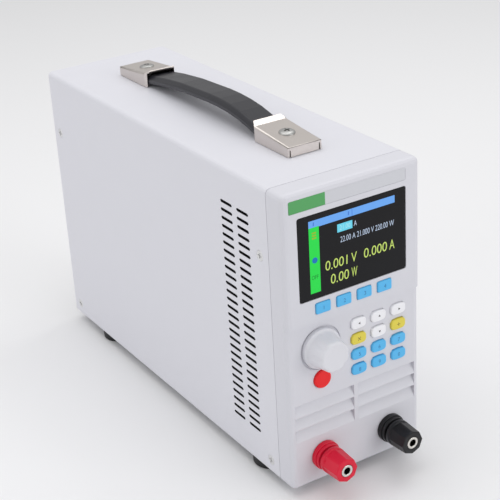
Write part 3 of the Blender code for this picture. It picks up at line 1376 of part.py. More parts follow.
def build_fan():
    """Axial fan: frame with motor mount, seven-bladed rotor and a wire finger guard."""
    rear = REAR_INNER_Y - GAP
    front = rear - FAN_DEPTH
    half = FAN_SIZE / 2
    place = (0.0, 0.0, FAN_Z)
    bm = bmesh.new()
    outline = rounded_rectangle((0.0, 0.0), (FAN_SIZE, FAN_SIZE), 0.0040, 2)
    add_prism(bm, outline, "Y", front, rear)
    frame = add_part("fan_frame", finished_mesh(bm, "fan_frame"), "black_plastic", place)
    bm = bmesh.new()
    add_rod(
        bm, "Y", (0.0, 0.0), front - 0.001, rear + 0.001, FAN_BORE_RADIUS, segments=20)
    for x in (-FAN_HOLE_SPACING / 2, FAN_HOLE_SPACING / 2):
        for z in (-FAN_HOLE_SPACING / 2, FAN_HOLE_SPACING / 2):
            add_rod(
                bm, "Y", (x, z), front - 0.001, rear + 0.001, FAN_CORNER_HOLE, segments=8)
    boolean(frame, add_cutter("fan_bore", finished_mesh(bm, "fan_bore"), place))
    mount = 0.0025
    bm = bmesh.new()
    arm = 0.0012
    reach = FAN_BORE_RADIUS + 0.0010
    add_block(bm, (-arm, front, -reach), (arm, front + mount, reach))
    boolean(frame, add_cutter("fan_arm_upright", finished_mesh(bm, "fan_arm_upright"), place), "UNION")
    bm = bmesh.new()
    add_block(bm, (-reach, front, -arm), (reach, front + mount, arm))
    boolean(frame, add_cutter("fan_arm_level", finished_mesh(bm, "fan_arm_level"), place), "UNION")
    bm = bmesh.new()
    add_rod(bm, "Y", (0.0, 0.0), front, front + mount, FAN_HUB_RADIUS, segments=12)
    boolean(frame, add_cutter("fan_motor_mount", finished_mesh(bm, "fan_motor_mount"), place), "UNION")
    bm = bmesh.new()
    pin_end = rear - 0.0030
    add_rod(
        bm, "Y", (0.0, 0.0), front + mount / 2, pin_end, FAN_BEARING_RADIUS, segments=8)
    boolean(frame, add_cutter("fan_pin", finished_mesh(bm, "fan_pin"), place), "UNION")

    bore = FAN_BEARING_RADIUS + GAP
    hub_low = front + mount + GAP
    hub_high = rear - 0.0010
    profile = [
        (0.0, hub_high), (FAN_HUB_RADIUS - 0.0005, hub_high), (FAN_HUB_RADIUS, hub_high - 0.0005),
        (FAN_HUB_RADIUS, hub_low), (bore, hub_low), (bore, pin_end + GAP), (0.0, pin_end + GAP),
    ]
    turned_up = [(radius, height) for radius, height in profile]
    rotor = turned(
        "fan_rotor", turned_up, 16, add_part, place, (radians(-90), 0.0, 0.0),
        finish="black_plastic")
    bm = bmesh.new()
    blade_width = (hub_high - hub_low) * 0.80
    middle = (hub_high + hub_low) / 2
    for index in range(FAN_BLADES):
        verts = add_block(
            bm, (-FAN_BLADE_THICKNESS / 2, -blade_width / 2, FAN_HUB_RADIUS - 0.0010),
            (FAN_BLADE_THICKNESS / 2, blade_width / 2, FAN_BLADE_RADIUS))
        swing = Matrix.Rotation(2 * pi * index / FAN_BLADES, 4, "Y")
        tilt = Matrix.Rotation(radians(FAN_BLADE_PITCH), 4, "Z")
        bmesh.ops.transform(
            bm, verts=verts, matrix=Matrix.Translation((0.0, middle, 0.0)) @ swing @ tilt)
    boolean(rotor, add_cutter("fan_blades", finished_mesh(bm, "fan_blades"), place), "UNION")

    plane = REAR_FACE_Y + GAP + GUARD_WIRE_RADIUS
    bm = bmesh.new()
    wire = GUARD_WIRE_RADIUS
    far = FAN_HOLE_SPACING / 2
    for index in range(4):
        add_rod(
            bm, "Y", (far * (1 if index % 2 else -1), FAN_Z + far * (1 if index < 2 else -1)),
            plane - wire, plane + wire, GUARD_EYE_RADIUS, segments=10)
    guard = add_part("fan_guard", finished_mesh(bm, "fan_guard", 30), "nickel")
    for index in range(2):
        bm = bmesh.new()
        length = 2 * far * sqrt(2)
        verts = bmesh.ops.create_cone(
            bm, cap_ends=True, segments=5, radius1=wire * 0.9, radius2=wire * 0.9,
            depth=length)["verts"]
        turn = Matrix.Rotation(radians(45 if index else -45), 4, "Y")
        bmesh.ops.transform(
            bm, verts=verts, matrix=Matrix.Translation((0.0, plane, FAN_Z)) @ turn)
        name = "guard_spoke_%d" % (index + 1)
        boolean(guard, add_cutter(name, finished_mesh(bm, name)), "UNION")
    for index, radius in enumerate(GUARD_RINGS):
        name = "guard_ring_%d" % (index + 1)
        loop = arc((radius, 0.0), wire, 45, 405, 4)[:-1]
        loop.reverse()
        ring = turned(
            name, loop, 14, add_cutter, (0.0, plane, FAN_Z), (radians(-90), 0.0, 0.0), closed=True)
        boolean(guard, ring, "UNION")


def build_inlet():
    """Appliance inlet with three pins, and a fuse drawer above its cavity."""
    place = (INLET_X, 0.0, INLET_Z)
    flange_rear = REAR_FACE_Y + GAP
    face = flange_rear + INLET_FLANGE_THICKNESS
    front = REAR_FACE_Y - INLET_DEPTH
    bm = bmesh.new()
    outline = rounded_rectangle((0.0, 0.0), INLET_FLANGE, 0.0060, 3)
    add_prism(bm, outline, "Y", flange_rear, face)
    inlet = add_part("inlet_socket", finished_mesh(bm, "inlet_socket"), "black_plastic", place)
    bm = bmesh.new()
    half_x = INLET_BODY[0] / 2
    half_z = INLET_BODY[1] / 2
    add_block(bm, (-half_x, front, -half_z), (half_x, flange_rear + GAP, half_z))
    boolean(inlet, add_cutter("inlet_body", finished_mesh(bm, "inlet_body"), place), "UNION")

    bm = bmesh.new()
    cavity_z = -INLET_CAVITY_DROP
    width, height = INLET_CAVITY
    cut = height * 0.28
    outline = [
        (width / 2, cavity_z - height / 2), (width / 2, cavity_z + height / 2 - cut),
        (width / 2 - cut, cavity_z + height / 2), (-width / 2 + cut, cavity_z + height / 2),
        (-width / 2, cavity_z + height / 2 - cut), (-width / 2, cavity_z - height / 2),
    ]
    add_prism(bm, outline, "Y", face - INLET_CAVITY_DEPTH, face + 0.002)
    pocket_x = DRAWER_SIZE[0] / 2 + DRAWER_GAP
    pocket_z = DRAWER_SIZE[1] / 2 + DRAWER_GAP
    add_block(
        bm, (-pocket_x, face - DRAWER_LENGTH - DRAWER_GAP, DRAWER_RISE - pocket_z),
        (pocket_x, face + 0.002, DRAWER_RISE + pocket_z))
    ear_x = (INLET_FLANGE[0] / 2 + INLET_BODY[0] / 2) / 2
    for side in (-1, 1):
        add_rod(
            bm, "Y", (side * ear_x, 0.0), flange_rear - 0.001, face + 0.001, 0.0017, segments=12)
    boolean(inlet, add_cutter("inlet_cavity", finished_mesh(bm, "inlet_cavity"), place))

    bm = bmesh.new()
    pin_x, pin_z = INLET_PIN_SIZE
    rear = face - INLET_CAVITY_DEPTH - 0.0005
    tip = face - INLET_CAVITY_DEPTH + INLET_PIN_LENGTH
    for x, z in (
            (-INLET_PIN_SPACING / 2, cavity_z - 0.0020), (0.0, cavity_z + 0.0020),
            (INLET_PIN_SPACING / 2, cavity_z - 0.0020)):
        add_block(
            bm, (x - pin_x / 2, rear, z - pin_z / 2), (x + pin_x / 2, tip, z + pin_z / 2))
    boolean(inlet, add_cutter("inlet_pins", finished_mesh(bm, "inlet_pins"), place), "UNION")

    bm = bmesh.new()
    half_x = DRAWER_SIZE[0] / 2
    half_z = DRAWER_SIZE[1] / 2
    add_block(
        bm, (-half_x, face - DRAWER_LENGTH, DRAWER_RISE - half_z),
        (half_x, face - DRAWER_GAP, DRAWER_RISE + half_z))
    drawer = add_part("fuse_drawer", finished_mesh(bm, "fuse_drawer"), "black_plastic", place)
    bm = bmesh.new()
    add_rod(
        bm, "X", (face - DRAWER_LENGTH / 2 - 0.0005, DRAWER_RISE + half_z), -half_x * 0.8,
        half_x * 0.8, DRAWER_SIZE[1] * 0.36, segments=12)
    add_block(
        bm, (-half_x * 0.4, face - DRAWER_GRIP, DRAWER_RISE - half_z - DRAWER_GAP),
        (half_x * 0.4, face + DRAWER_GAP, DRAWER_RISE - half_z + DRAWER_GRIP))
    boolean(drawer, add_cutter("fuse_bed", finished_mesh(bm, "fuse_bed"), place))


def build_inside():
    """Finned heat sink on two legs, and the power board with its transformer."""
    base = SINK_BASE_Z
    top = SINK_TOP_Z
    half = SINK_HALF_WIDTH
    leg = SINK_LEG
    floor = CHASSIS_FLOOR_TOP + GAP
    pitch = (2 * half - SINK_FIN_THICKNESS) / (SINK_FINS - 1)
    outline = [
        (half, floor), (half - leg, floor), (half - leg, base),
        (-half + leg, base), (-half + leg, floor), (-half, floor),
    ]
    for index in range(SINK_FINS):
        left = -half + index * pitch
        if index > 0:
            outline.append((left, base + SINK_BASE_THICKNESS))
        outline.append((left, top))
        outline.append((left + SINK_FIN_THICKNESS, top))
        if index < SINK_FINS - 1:
            outline.append((left + SINK_FIN_THICKNESS, base + SINK_BASE_THICKNESS))
    bm = bmesh.new()
    add_prism(bm, outline, "Y", SINK_FRONT_Y, SINK_REAR_Y)
    add_part("heat_sink", finished_mesh(bm, "heat_sink"), "aluminium")

    bm = bmesh.new()
    low = POWER_BOARD_LOW
    high = POWER_BOARD_HIGH
    surface = POWER_BOARD_Z + BOARD_THICKNESS
    add_block(bm, (*low, POWER_BOARD_Z), (*high, surface))
    board = add_part("power_board", finished_mesh(bm, "power_board"), "board_green")
    bm = bmesh.new()
    sink = BOARD_THICKNESS / 4
    for x in (-POWER_BOARD_HALF / 2, POWER_BOARD_HALF / 2):
        add_rod(
            bm, "Z", (x, CAPACITOR_Y), surface - sink, surface + CAPACITOR_HEIGHT, CAPACITOR_RADIUS,
            segments=12)
    width, depth, height = TRANSISTOR_SIZE
    outermost = 0.7 * POWER_BOARD_HALF
    for index in range(TRANSISTORS):
        x = -outermost + index * 2 * outermost / (TRANSISTORS - 1)
        y = SINK_FRONT_Y + TRANSISTOR_SET_BACK
        add_block(
            bm, (x - width / 2, y, surface - sink), (x + width / 2, y + depth, surface + height))
    width, depth, height = CONNECTOR_SIZE
    y = (CAPACITOR_Y + CAPACITOR_RADIUS + SINK_FRONT_Y) / 2
    add_block(
        bm, (-width / 2, y - depth / 2, surface - sink), (width / 2, y + depth / 2, surface + height))
    boolean(board, add_cutter("board_parts", finished_mesh(bm, "board_parts")), "UNION")

    low = (-0.8 * POWER_BOARD_HALF, TRANSFORMER_FRONT_Y)
    high = (0.8 * POWER_BOARD_HALF, TRANSFORMER_REAR_Y)
    foot = surface - sink
    middle = (low[1] + high[1]) / 2
    bm = bmesh.new()
    add_block(
        bm, (low[0], middle - TRANSFORMER_CORE / 2, foot),
        (high[0], middle + TRANSFORMER_CORE / 2, foot + TRANSFORMER_HEIGHT))
    upright = [
        edge for edge in bm.edges if abs(edge.verts[0].co.z - edge.verts[1].co.z) > 1e-6]
    bevel_edges(bm, upright, 0.0020, 2)
    core = add_cutter("transformer_core", finished_mesh(bm, "transformer_core"))
    boolean(board, core, "UNION")
    bm = bmesh.new()
    winding = TRANSFORMER_HEIGHT * 0.2
    add_block(
        bm, (low[0] * 0.62, low[1], foot + winding),
        (high[0] * 0.62, high[1], foot + TRANSFORMER_HEIGHT - winding))
    bevel_edges(bm, list(bm.edges), 0.0030, 1)
    boolean(board, add_cutter("transformer_winding", finished_mesh(bm, "winding")), "UNION")


def build_model():
    """Build every sub-part."""
    build_cover()
    build_case_screws()
    build_chassis()
    build_bezel()
    build_display()
    build_control_board()
    build_keys()
    build_knob()
    build_power_button()
    build_binding_post("red", -1)
    build_binding_post("black", 1)
    build_feet()
    build_handle_cap("handle_cap_front", HANDLE_FRONT_Y, 1)
    build_handle_cap("handle_cap_rear", HANDLE_REAR_Y, -1)
    build_handle_screws()
    build_strap()
    build_rear_panel()
    build_fan()
    build_inlet()
    build_inside()


build_model()
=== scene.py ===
"""Looks of a slim bench electronic load: controls, finishes, display picture, light, camera."""

import json
from math import atan2, cos, hypot, pi, radians, sin

import bmesh
import bpy
from mathutils import Matrix, Vector


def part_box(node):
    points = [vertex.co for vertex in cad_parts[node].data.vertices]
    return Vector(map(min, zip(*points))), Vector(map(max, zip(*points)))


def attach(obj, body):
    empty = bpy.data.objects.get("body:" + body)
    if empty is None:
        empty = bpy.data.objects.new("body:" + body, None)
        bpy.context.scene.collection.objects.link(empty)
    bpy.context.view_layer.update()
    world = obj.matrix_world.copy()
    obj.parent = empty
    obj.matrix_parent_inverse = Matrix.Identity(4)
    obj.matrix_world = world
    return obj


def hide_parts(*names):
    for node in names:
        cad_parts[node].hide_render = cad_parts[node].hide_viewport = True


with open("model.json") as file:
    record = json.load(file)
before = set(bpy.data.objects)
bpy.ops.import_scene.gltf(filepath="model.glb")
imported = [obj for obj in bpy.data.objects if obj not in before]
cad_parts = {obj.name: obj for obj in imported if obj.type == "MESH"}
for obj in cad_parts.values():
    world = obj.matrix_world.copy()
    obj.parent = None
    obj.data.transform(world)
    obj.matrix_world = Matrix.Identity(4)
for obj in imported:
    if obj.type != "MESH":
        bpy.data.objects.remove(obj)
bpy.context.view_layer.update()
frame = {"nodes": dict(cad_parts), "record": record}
NODES = frame["nodes"]
RECORD = frame["record"]
BODY_OF = {
    node: body for body, group in RECORD["behaviour"]["bodies"].items() for node in group}
SLOT_OF = {entry["node"]: entry["material_slot"] for entry in RECORD["subparts"]}
MM = 0.001
ALONG_Y = (0.0, 1.0, 0.0)

# Camera, solved from the case's own edges in the photograph
CAMERA_PLACE = (-0.35321, -0.60871, 0.41548)
CAMERA_TURN = (radians(64.91), radians(3.11), radians(-32.50))
CAMERA_LENS = 96.44
CAMERA_SHIFT = (0.0, 0.003)
SENSOR_WIDTH = 36.0

# Colours, written as the photograph shows them (sRGB, 0 to 255)
CASE_WHITE = (220, 220, 227)
BEZEL_WHITE = (214, 214, 221)
KNOB_WHITE = (220, 220, 226)
KEY_BLUE = (84, 184, 238)
KEY_WHITE = (240, 240, 244)
KEY_YELLOW = (224, 208, 74)
BUTTON_RED = (234, 24, 28)
POST_RED = (216, 16, 52)
POST_BLACK = (13, 13, 17)
STRIP_GREEN = (80, 162, 92)
STRIP_GREY = (206, 207, 213)
WINDOW_BLACK = (12, 12, 16)
STEEL = (214, 207, 202)
ZINC = (178, 178, 176)
BRIGHT_ZINC = (226, 226, 226)
TIN = (150, 150, 150)
NICKEL = (222, 219, 213)
ALUMINIUM = (208, 210, 212)
# Painted shade: dark metal for the inside of the studs' deep sockets
SHADED_METAL = (36, 35, 34)
# Painted shade: near black for the cover's inner side and slot walls, which no light reaches
COVER_SHADE_COLOUR = (22, 22, 24)
STRAP_BLACK = (38, 38, 44)
SOFT_BLACK = (26, 26, 29)
BOARD_GREEN = (18, 92, 52)
INK_BLACK = (26, 26, 30)
INK_BLUE = (44, 118, 176)
INK_OLIVE = (150, 132, 44)
SCREEN_COLOURS = {
    "bar_blue": (112, 174, 250),
    "green": (44, 226, 80),
    "cyan": (112, 220, 246),
    "pale_cyan": (176, 238, 250),
    "white": (196, 212, 236),
    "yellow": (206, 230, 116),
    "orange": (160, 190, 48),
    "dot_blue": (30, 120, 190),
    "dark_green": (18, 128, 48),
    "dark_blue": (72, 122, 214),
}


def linear(colour):
    """Turn an sRGB colour from 0 to 255 into the linear values that Blender works in."""
    values = []
    for part in colour:
        share = part / 255
        values.append(share / 12.92 if share <= 0.04045 else ((share + 0.055) / 1.055) ** 2.4)
    return (*values, 1.0)


NODE_SPACING = 200


class NodeTree:
    """Adds nodes to a tree from left to right and links them by name."""

    def __init__(self, tree):
        self.tree = tree
        self.column = 0

    def link(self, source, target):
        """Link an output to an input."""
        self.tree.links.new(source, target)

    def give(self, socket, value):
        """Link an input to an output, or set it to a constant."""
        if isinstance(value, bpy.types.NodeSocket):
            self.link(value, socket)
        else:
            socket.default_value = value

    def add(self, kind, settings=None, **inputs):
        """Add a node with its settings and with its inputs, which are given by name."""
        node = self.tree.nodes.new(kind)
        node.location = (self.column * NODE_SPACING, 0)
        self.column += 1
        for name, value in (settings or {}).items():
            setattr(node, name, value)
        for name, value in inputs.items():
            self.give(node.inputs[name.replace("_", " ")], value)
        return node

    def maths(self, operation, *values):
        """Add a Math node and return its result."""
        node = self.add("ShaderNodeMath", {"operation": operation})
        for socket, value in zip(node.inputs, values):
            self.give(socket, value)
        return node.outputs[0]

    def scaled(self, colour, factor):
        """Multiply a colour by a number and return the result."""
        node = self.add(
            "ShaderNodeVectorMath", {"operation": "SCALE"}, Vector=colour, Scale=factor)
        return node.outputs["Vector"]

    def bumped(self, height, distance):
        """Turn a height into a normal."""
        node = self.add("ShaderNodeBump", Height=height, Distance=distance, Strength=1.0)
        return node.outputs["Normal"]


def shader_group(name, inputs, outputs):
    """Start a node group and return its tree with the group's input and output nodes."""
    group = bpy.data.node_groups.new(name, "ShaderNodeTree")
    for label, kind, value in inputs:
        socket = group.interface.new_socket(label, in_out="INPUT", socket_type=kind)
        socket.default_value = value
    for label, kind in outputs:
        group.interface.new_socket(label, in_out="OUTPUT", socket_type=kind)
    tree = NodeTree(group)
    start = tree.add("NodeGroupInput")
    end = group.nodes.new("NodeGroupOutput")
    return group, tree, start.outputs, end.inputs


FINE_MOTTLE = 900.0
SLOW_SHARE = 0.7


def mottle_group():
    """Slow changes of tint and gloss, as on any moulded or painted face."""
    group, tree, given, result = shader_group(
        "mottle",
        [("Colour", "NodeSocketColor", (0.8, 0.8, 0.8, 1.0)),
         ("Tint", "NodeSocketFloat", 0.04),
         ("Roughness", "NodeSocketFloat", 0.5),
         ("Gloss Change", "NodeSocketFloat", 0.06),
         ("Scale", "NodeSocketFloat", 60.0)],
        [("Colour", "NodeSocketColor"), ("Roughness", "NodeSocketFloat")])
    place = tree.add("ShaderNodeTexCoord").outputs["Object"]
    slow = tree.add("ShaderNodeTexNoise", Vector=place, Scale=given["Scale"], Detail=3.0)
    fine = tree.add("ShaderNodeTexNoise", Vector=place, Scale=FINE_MOTTLE, Detail=2.0)
    slow_part = tree.maths("MULTIPLY", slow.outputs["Fac"], SLOW_SHARE)
    mixed = tree.maths("MULTIPLY_ADD", fine.outputs["Fac"], 1 - SLOW_SHARE, slow_part)
    centred = tree.maths("SUBTRACT", mixed, 0.5)
    tint = tree.maths("MULTIPLY", centred, given["Tint"])
    colour = tree.scaled(given["Colour"], tree.maths("ADD", tint, 1.0))
    gloss = tree.maths("MULTIPLY_ADD", centred, given["Gloss Change"], given["Roughness"])
    tree.link(colour, result["Colour"])
    tree.link(gloss, result["Roughness"])
    return group


def grain_group():
    """Height of a fine grain: sprayed paint, spark-eroded moulding or cast rubber."""
    group, tree, given, result = shader_group(
        "grain",
        [("Grains per Metre", "NodeSocketFloat", 1800.0), ("Softness", "NodeSocketFloat", 0.5)],
        [("Height", "NodeSocketFloat")])
    place = tree.add("ShaderNodeTexCoord").outputs["Object"]
    noise = tree.add(
        "ShaderNodeTexNoise", Vector=place, Scale=given["Grains per Metre"], Detail=2.0,
        Roughness=given["Softness"])
    tree.link(noise.outputs["Fac"], result["Height"])
    return group


BRUSHED_LINES = 2600.0
BRUSHED_STRETCH = (1.0, 0.04, 1.0)


def brushed_group():
    """Height and gloss of fine parallel lines left by brushing or rolling along Y."""
    group, tree, given, result = shader_group(
        "brushed",
        [("Roughness", "NodeSocketFloat", 0.35), ("Gloss Change", "NodeSocketFloat", 0.15)],
        [("Height", "NodeSocketFloat"), ("Roughness", "NodeSocketFloat")])
    place = tree.add("ShaderNodeTexCoord").outputs["Object"]
    stretched = tree.add("ShaderNodeMapping", Vector=place, Scale=BRUSHED_STRETCH)
    noise = tree.add(
        "ShaderNodeTexNoise", Vector=stretched.outputs["Vector"], Scale=BRUSHED_LINES, Detail=3.0)
    gloss = tree.maths(
        "MULTIPLY_ADD", noise.outputs["Fac"], given["Gloss Change"], given["Roughness"])
    tree.link(noise.outputs["Fac"], result["Height"])
    tree.link(gloss, result["Roughness"])
    return group


MOTTLE = mottle_group()
GRAIN = grain_group()
BRUSHED = brushed_group()


def place_group(tree, group, **inputs):
    """Place a node group in a material with its own values."""
    node = tree.add("ShaderNodeGroup", {"node_tree": group})
    for name, value in inputs.items():
        node.inputs[name.replace("_", " ")].default_value = value
    return node


def new_material(name):
    """Return a material, its tree and its Principled shader."""
    material = bpy.data.materials.new(name)
    material.use_nodes = True
    tree = NodeTree(material.node_tree)
    shader = material.node_tree.nodes["Principled BSDF"]
    return material, tree, shader


def solid_finish(name, colour, roughness, tint=0.04, gloss_change=0.06, scale=60.0,
                 grains=1800.0, height=0.0, gleam=0.5):
    """Opaque finish: mottled colour and gloss over a fine grain."""
    material, tree, shader = new_material(name)
    mottle = place_group(
        tree, MOTTLE, Colour=linear(colour), Tint=tint, Roughness=roughness,
        Gloss_Change=gloss_change, Scale=scale)
    tree.link(mottle.outputs["Colour"], shader.inputs["Base Color"])
    tree.link(mottle.outputs["Roughness"], shader.inputs["Roughness"])
    shader.inputs["Specular IOR Level"].default_value = gleam
    if height:
        grain = place_group(tree, GRAIN, Grains_per_Metre=grains)
        tree.link(tree.bumped(grain.outputs["Height"], height), shader.inputs["Normal"])
    return material


def brushed_metal(name, colour, roughness, gloss_change=0.15, height=0.00001):
    """Bare metal with fine lines along Y."""
    material, tree, shader = new_material(name)
    mottle = place_group(
        tree, MOTTLE, Colour=linear(colour), Tint=0.10, Roughness=roughness, Gloss_Change=0.0,
        Scale=90.0)
    brushed = place_group(tree, BRUSHED, Roughness=roughness, Gloss_Change=gloss_change)
    tree.link(mottle.outputs["Colour"], shader.inputs["Base Color"])
    tree.link(brushed.outputs["Roughness"], shader.inputs["Roughness"])
    tree.link(tree.bumped(brushed.outputs["Height"], height), shader.inputs["Normal"])
    shader.inputs["Metallic"].default_value = 1.0
    return material


SCREEN_GLOW = 0.80
SCREEN_BODY = 0.12


def lit_print(name, colour):
    """Picture on the display: it glows by itself and hardly answers to the room's light."""
    material, tree, shader = new_material(name)
    mottle = place_group(
        tree, MOTTLE, Colour=linear(colour), Tint=0.10, Roughness=0.25, Gloss_Change=0.05,
        Scale=400.0)
    body = tree.scaled(mottle.outputs["Colour"], SCREEN_BODY)
    tree.link(body, shader.inputs["Base Color"])
    tree.link(mottle.outputs["Colour"], shader.inputs["Emission Color"])
    tree.link(mottle.outputs["Roughness"], shader.inputs["Roughness"])
    shader.inputs["Emission Strength"].default_value = SCREEN_GLOW
    shader.inputs["Specular IOR Level"].default_value = 0.2
    return material


FINISHES = {
    "case_paint": solid_finish(
        "case_powder_coat", CASE_WHITE, 0.46, tint=0.03, grains=2200.0, height=0.00002),
    "bezel_plastic": solid_finish(
        "bezel_moulding", BEZEL_WHITE, 0.50, tint=0.03, grains=3200.0, height=0.000012),
    "knob_plastic": solid_finish(
        "knob_moulding", KNOB_WHITE, 0.42, tint=0.03, grains=3600.0, height=0.000006),
    "plated_steel": brushed_metal("zinc_plate", ZINC, 0.34),
    "window_acrylic": solid_finish(
        "window_black", WINDOW_BLACK, 0.20, tint=0.2, gloss_change=0.04, gleam=0.22),
    "display_metal": brushed_metal("tinned_can", TIN, 0.42),
    "blue_key": solid_finish(
        "blue_key_rubber", KEY_BLUE, 0.46, tint=0.05, grains=3000.0, height=0.000008),
    "white_key": solid_finish(
        "white_key_rubber", KEY_WHITE, 0.42, tint=0.03, grains=3000.0, height=0.000008),
    "yellow_key": solid_finish(
        "yellow_key_rubber", KEY_YELLOW, 0.46, tint=0.05, grains=3000.0, height=0.000008),
    "red_button": solid_finish(
        "red_button_plastic", BUTTON_RED, 0.34, tint=0.05, grains=2600.0, height=0.000004,
        gleam=0.35),
    "red_post": solid_finish(
        "red_post_nylon", POST_RED, 0.30, tint=0.06, grains=2400.0, height=0.000008, gleam=0.35),
    "black_post": solid_finish(
        "black_post_nylon", POST_BLACK, 0.30, tint=0.2, grains=2400.0, height=0.000008, gleam=0.4),
    "nickel": brushed_metal("nickel_plate", NICKEL, 0.18, gloss_change=0.1, height=0.000003),
    "satin_steel": brushed_metal("satin_steel", STEEL, 0.30, gloss_change=0.16),
    "strap_rubber": solid_finish(
        "strap_rubber", STRAP_BLACK, 0.36, tint=0.25, gloss_change=0.15, scale=120.0,
        grains=2600.0, height=0.00002),
    "foot_rubber": solid_finish(
        "foot_rubber", SOFT_BLACK, 0.62, tint=0.3, grains=2400.0, height=0.00003),
    "board_green": solid_finish("solder_mask", BOARD_GREEN, 0.40, tint=0.2),
    "black_plastic": solid_finish(
        "black_moulding", SOFT_BLACK, 0.44, tint=0.2, grains=2800.0, height=0.00001),
    "aluminium": brushed_metal("extruded_aluminium", ALUMINIUM, 0.34),
}
# Painted shade for the inside of the studs' sockets, which lie in shadow
SOCKET_PAINTED_SHADE = brushed_metal("socket_painted_shade", SHADED_METAL, 0.45)
# Painted shade for the cover's inner side and slot walls
COVER_PAINTED_SHADE = solid_finish("cover_painted_shade", COVER_SHADE_COLOUR, 0.7, tint=0.1)
SCREW_METAL = brushed_metal("bright_zinc", BRIGHT_ZINC, 0.42, gloss_change=0.1)
# Printed inks and the display's glowing colours
INKS = {
    "green_field": solid_finish("green_ink", STRIP_GREEN, 0.42, tint=0.05),
    "grey_field": solid_finish("grey_ink", STRIP_GREY, 0.42, tint=0.03),
    "black": solid_finish("black_ink", INK_BLACK, 0.45, tint=0.1),
    "blue": solid_finish("blue_ink", INK_BLUE, 0.45, tint=0.1),
    "olive": solid_finish("olive_ink", INK_OLIVE, 0.45, tint=0.1),
}
INKS.update({ink: lit_print("screen_" + ink, colour) for ink, colour in SCREEN_COLOURS.items()})

for node_name, node in NODES.items():
    node.data.materials.clear()
    node.data.materials.append(FINISHES[SLOT_OF[node_name]])


def extent(node):
    """Lowest corner, highest corner and middle of a CAD node."""
    low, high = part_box(node)
    return low, high, (low + high) / 2


# Larger faces are shaded flat, so that no gradient runs over them
FLAT_FACE_AREA = 25 * MM * MM
# Corners nearer than this are one: in new pieces and in meshes from the CAD
SAME_PLACE = 1e-7
CAD_MERGE = 1e-6


def finish_piece(name, bm, carrier, stands_for=(), material=None, smooth_angle=35):
    """Turn a bmesh into a shown piece that rides with its carrier's body."""
    bmesh.ops.remove_doubles(bm, verts=bm.verts, dist=SAME_PLACE)
    bmesh.ops.recalc_face_normals(bm, faces=bm.faces)
    mesh = bpy.data.meshes.new(name)
    bm.to_mesh(mesh)
    bm.free()
    if smooth_angle:
        mesh.shade_smooth()
        mesh.set_sharp_from_angle(angle=radians(smooth_angle))
        for face in mesh.polygons:
            face.use_smooth = face.area < FLAT_FACE_AREA
    mesh.materials.append(material or FINISHES[SLOT_OF[carrier]])
    piece = bpy.data.objects.new(name, mesh)
    bpy.context.scene.collection.objects.link(piece)
    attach(piece, BODY_OF[carrier])
    if stands_for:
        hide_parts(*stands_for)
    return piece


def merged_copy(node):
    """A CAD node's mesh with its loose triangles joined and its flat faces made whole."""
    bm = bmesh.new()
    bm.from_mesh(NODES[node].data)
    bmesh.ops.remove_doubles(bm, verts=bm.verts, dist=CAD_MERGE)
    bmesh.ops.dissolve_limit(bm, angle_limit=radians(1), verts=bm.verts, edges=bm.edges)
    return bm


def carve(bm, tool):
    """Take one solid out of another and return what is left."""
    holders = []
    for name, source in (("carved_solid", bm), ("carving_tool", tool)):
        bmesh.ops.recalc_face_normals(source, faces=source.faces)
        mesh = bpy.data.meshes.new(name)
        source.to_mesh(mesh)
        source.free()
        holder = bpy.data.objects.new(name, mesh)
        bpy.context.scene.collection.objects.link(holder)
        holders.append(holder)
    cut = holders[0].modifiers.new("cut", "BOOLEAN")
    cut.operation = "DIFFERENCE"
    cut.solver = "EXACT"
    cut.object = holders[1]
    graph = bpy.context.evaluated_depsgraph_get()
    mesh = bpy.data.meshes.new_from_object(holders[0].evaluated_get(graph))
    for holder in holders:
        bpy.data.objects.remove(holder)
    result = bmesh.new()
    result.from_mesh(mesh)
    bpy.data.meshes.remove(mesh)
    return result


def turn_to(axis):
    """Matrix that turns +Z to an axis."""
    return Vector((0.0, 0.0, 1.0)).rotation_difference(Vector(axis)).to_matrix().to_4x4()


def add_rod(bm, centre, axis, radius, first, last, segments=32):
    """Add a round rod along an axis, between two places counted from the centre."""
    verts = bmesh.ops.create_cone(
        bm, cap_ends=True, segments=segments, radius1=radius, radius2=radius,
        depth=last - first)["verts"]
    middle = Vector(centre) + Vector(axis) * (first + last) / 2
    bmesh.ops.transform(bm, matrix=Matrix.Translation(middle) @ turn_to(axis), verts=verts)


CORNER_STEPS = 6
# Share of a bowed edge's length that its rounding takes on each side of the peak
BULGE_REACH = 0.26


def round_corners(bm, verts, width):
    """Round chosen corners of a flat face."""
    bmesh.ops.bevel(
        bm, geom=verts, offset=width, offset_type="OFFSET", segments=CORNER_STEPS, profile=0.5,
        affect="VERTICES", material=-1)


def bevel(bm, edges, width, segments):
    """Round chosen edges."""
    bmesh.ops.bevel(
        bm, geom=edges, offset=width, offset_type="OFFSET", segments=segments, profile=0.5,
        affect="EDGES", material=-1)


def edges_at(bm, y):
    """Edges that lie on a plane across Y."""
    return [
        edge for edge in bm.edges
        if all(abs(vert.co.y - y) < CAD_MERGE for vert in edge.verts)]


def sharp_edges(bm, degrees):
    """Edges between two faces that turn by more than an angle."""
    return [
        edge for edge in bm.edges
        if len(edge.link_faces) == 2 and edge.calc_face_angle(0.0) > radians(degrees)]


def run_along_y(edge):
    """How far an edge runs along Y."""
    return abs(edge.verts[0].co.y - edge.verts[1].co.y)


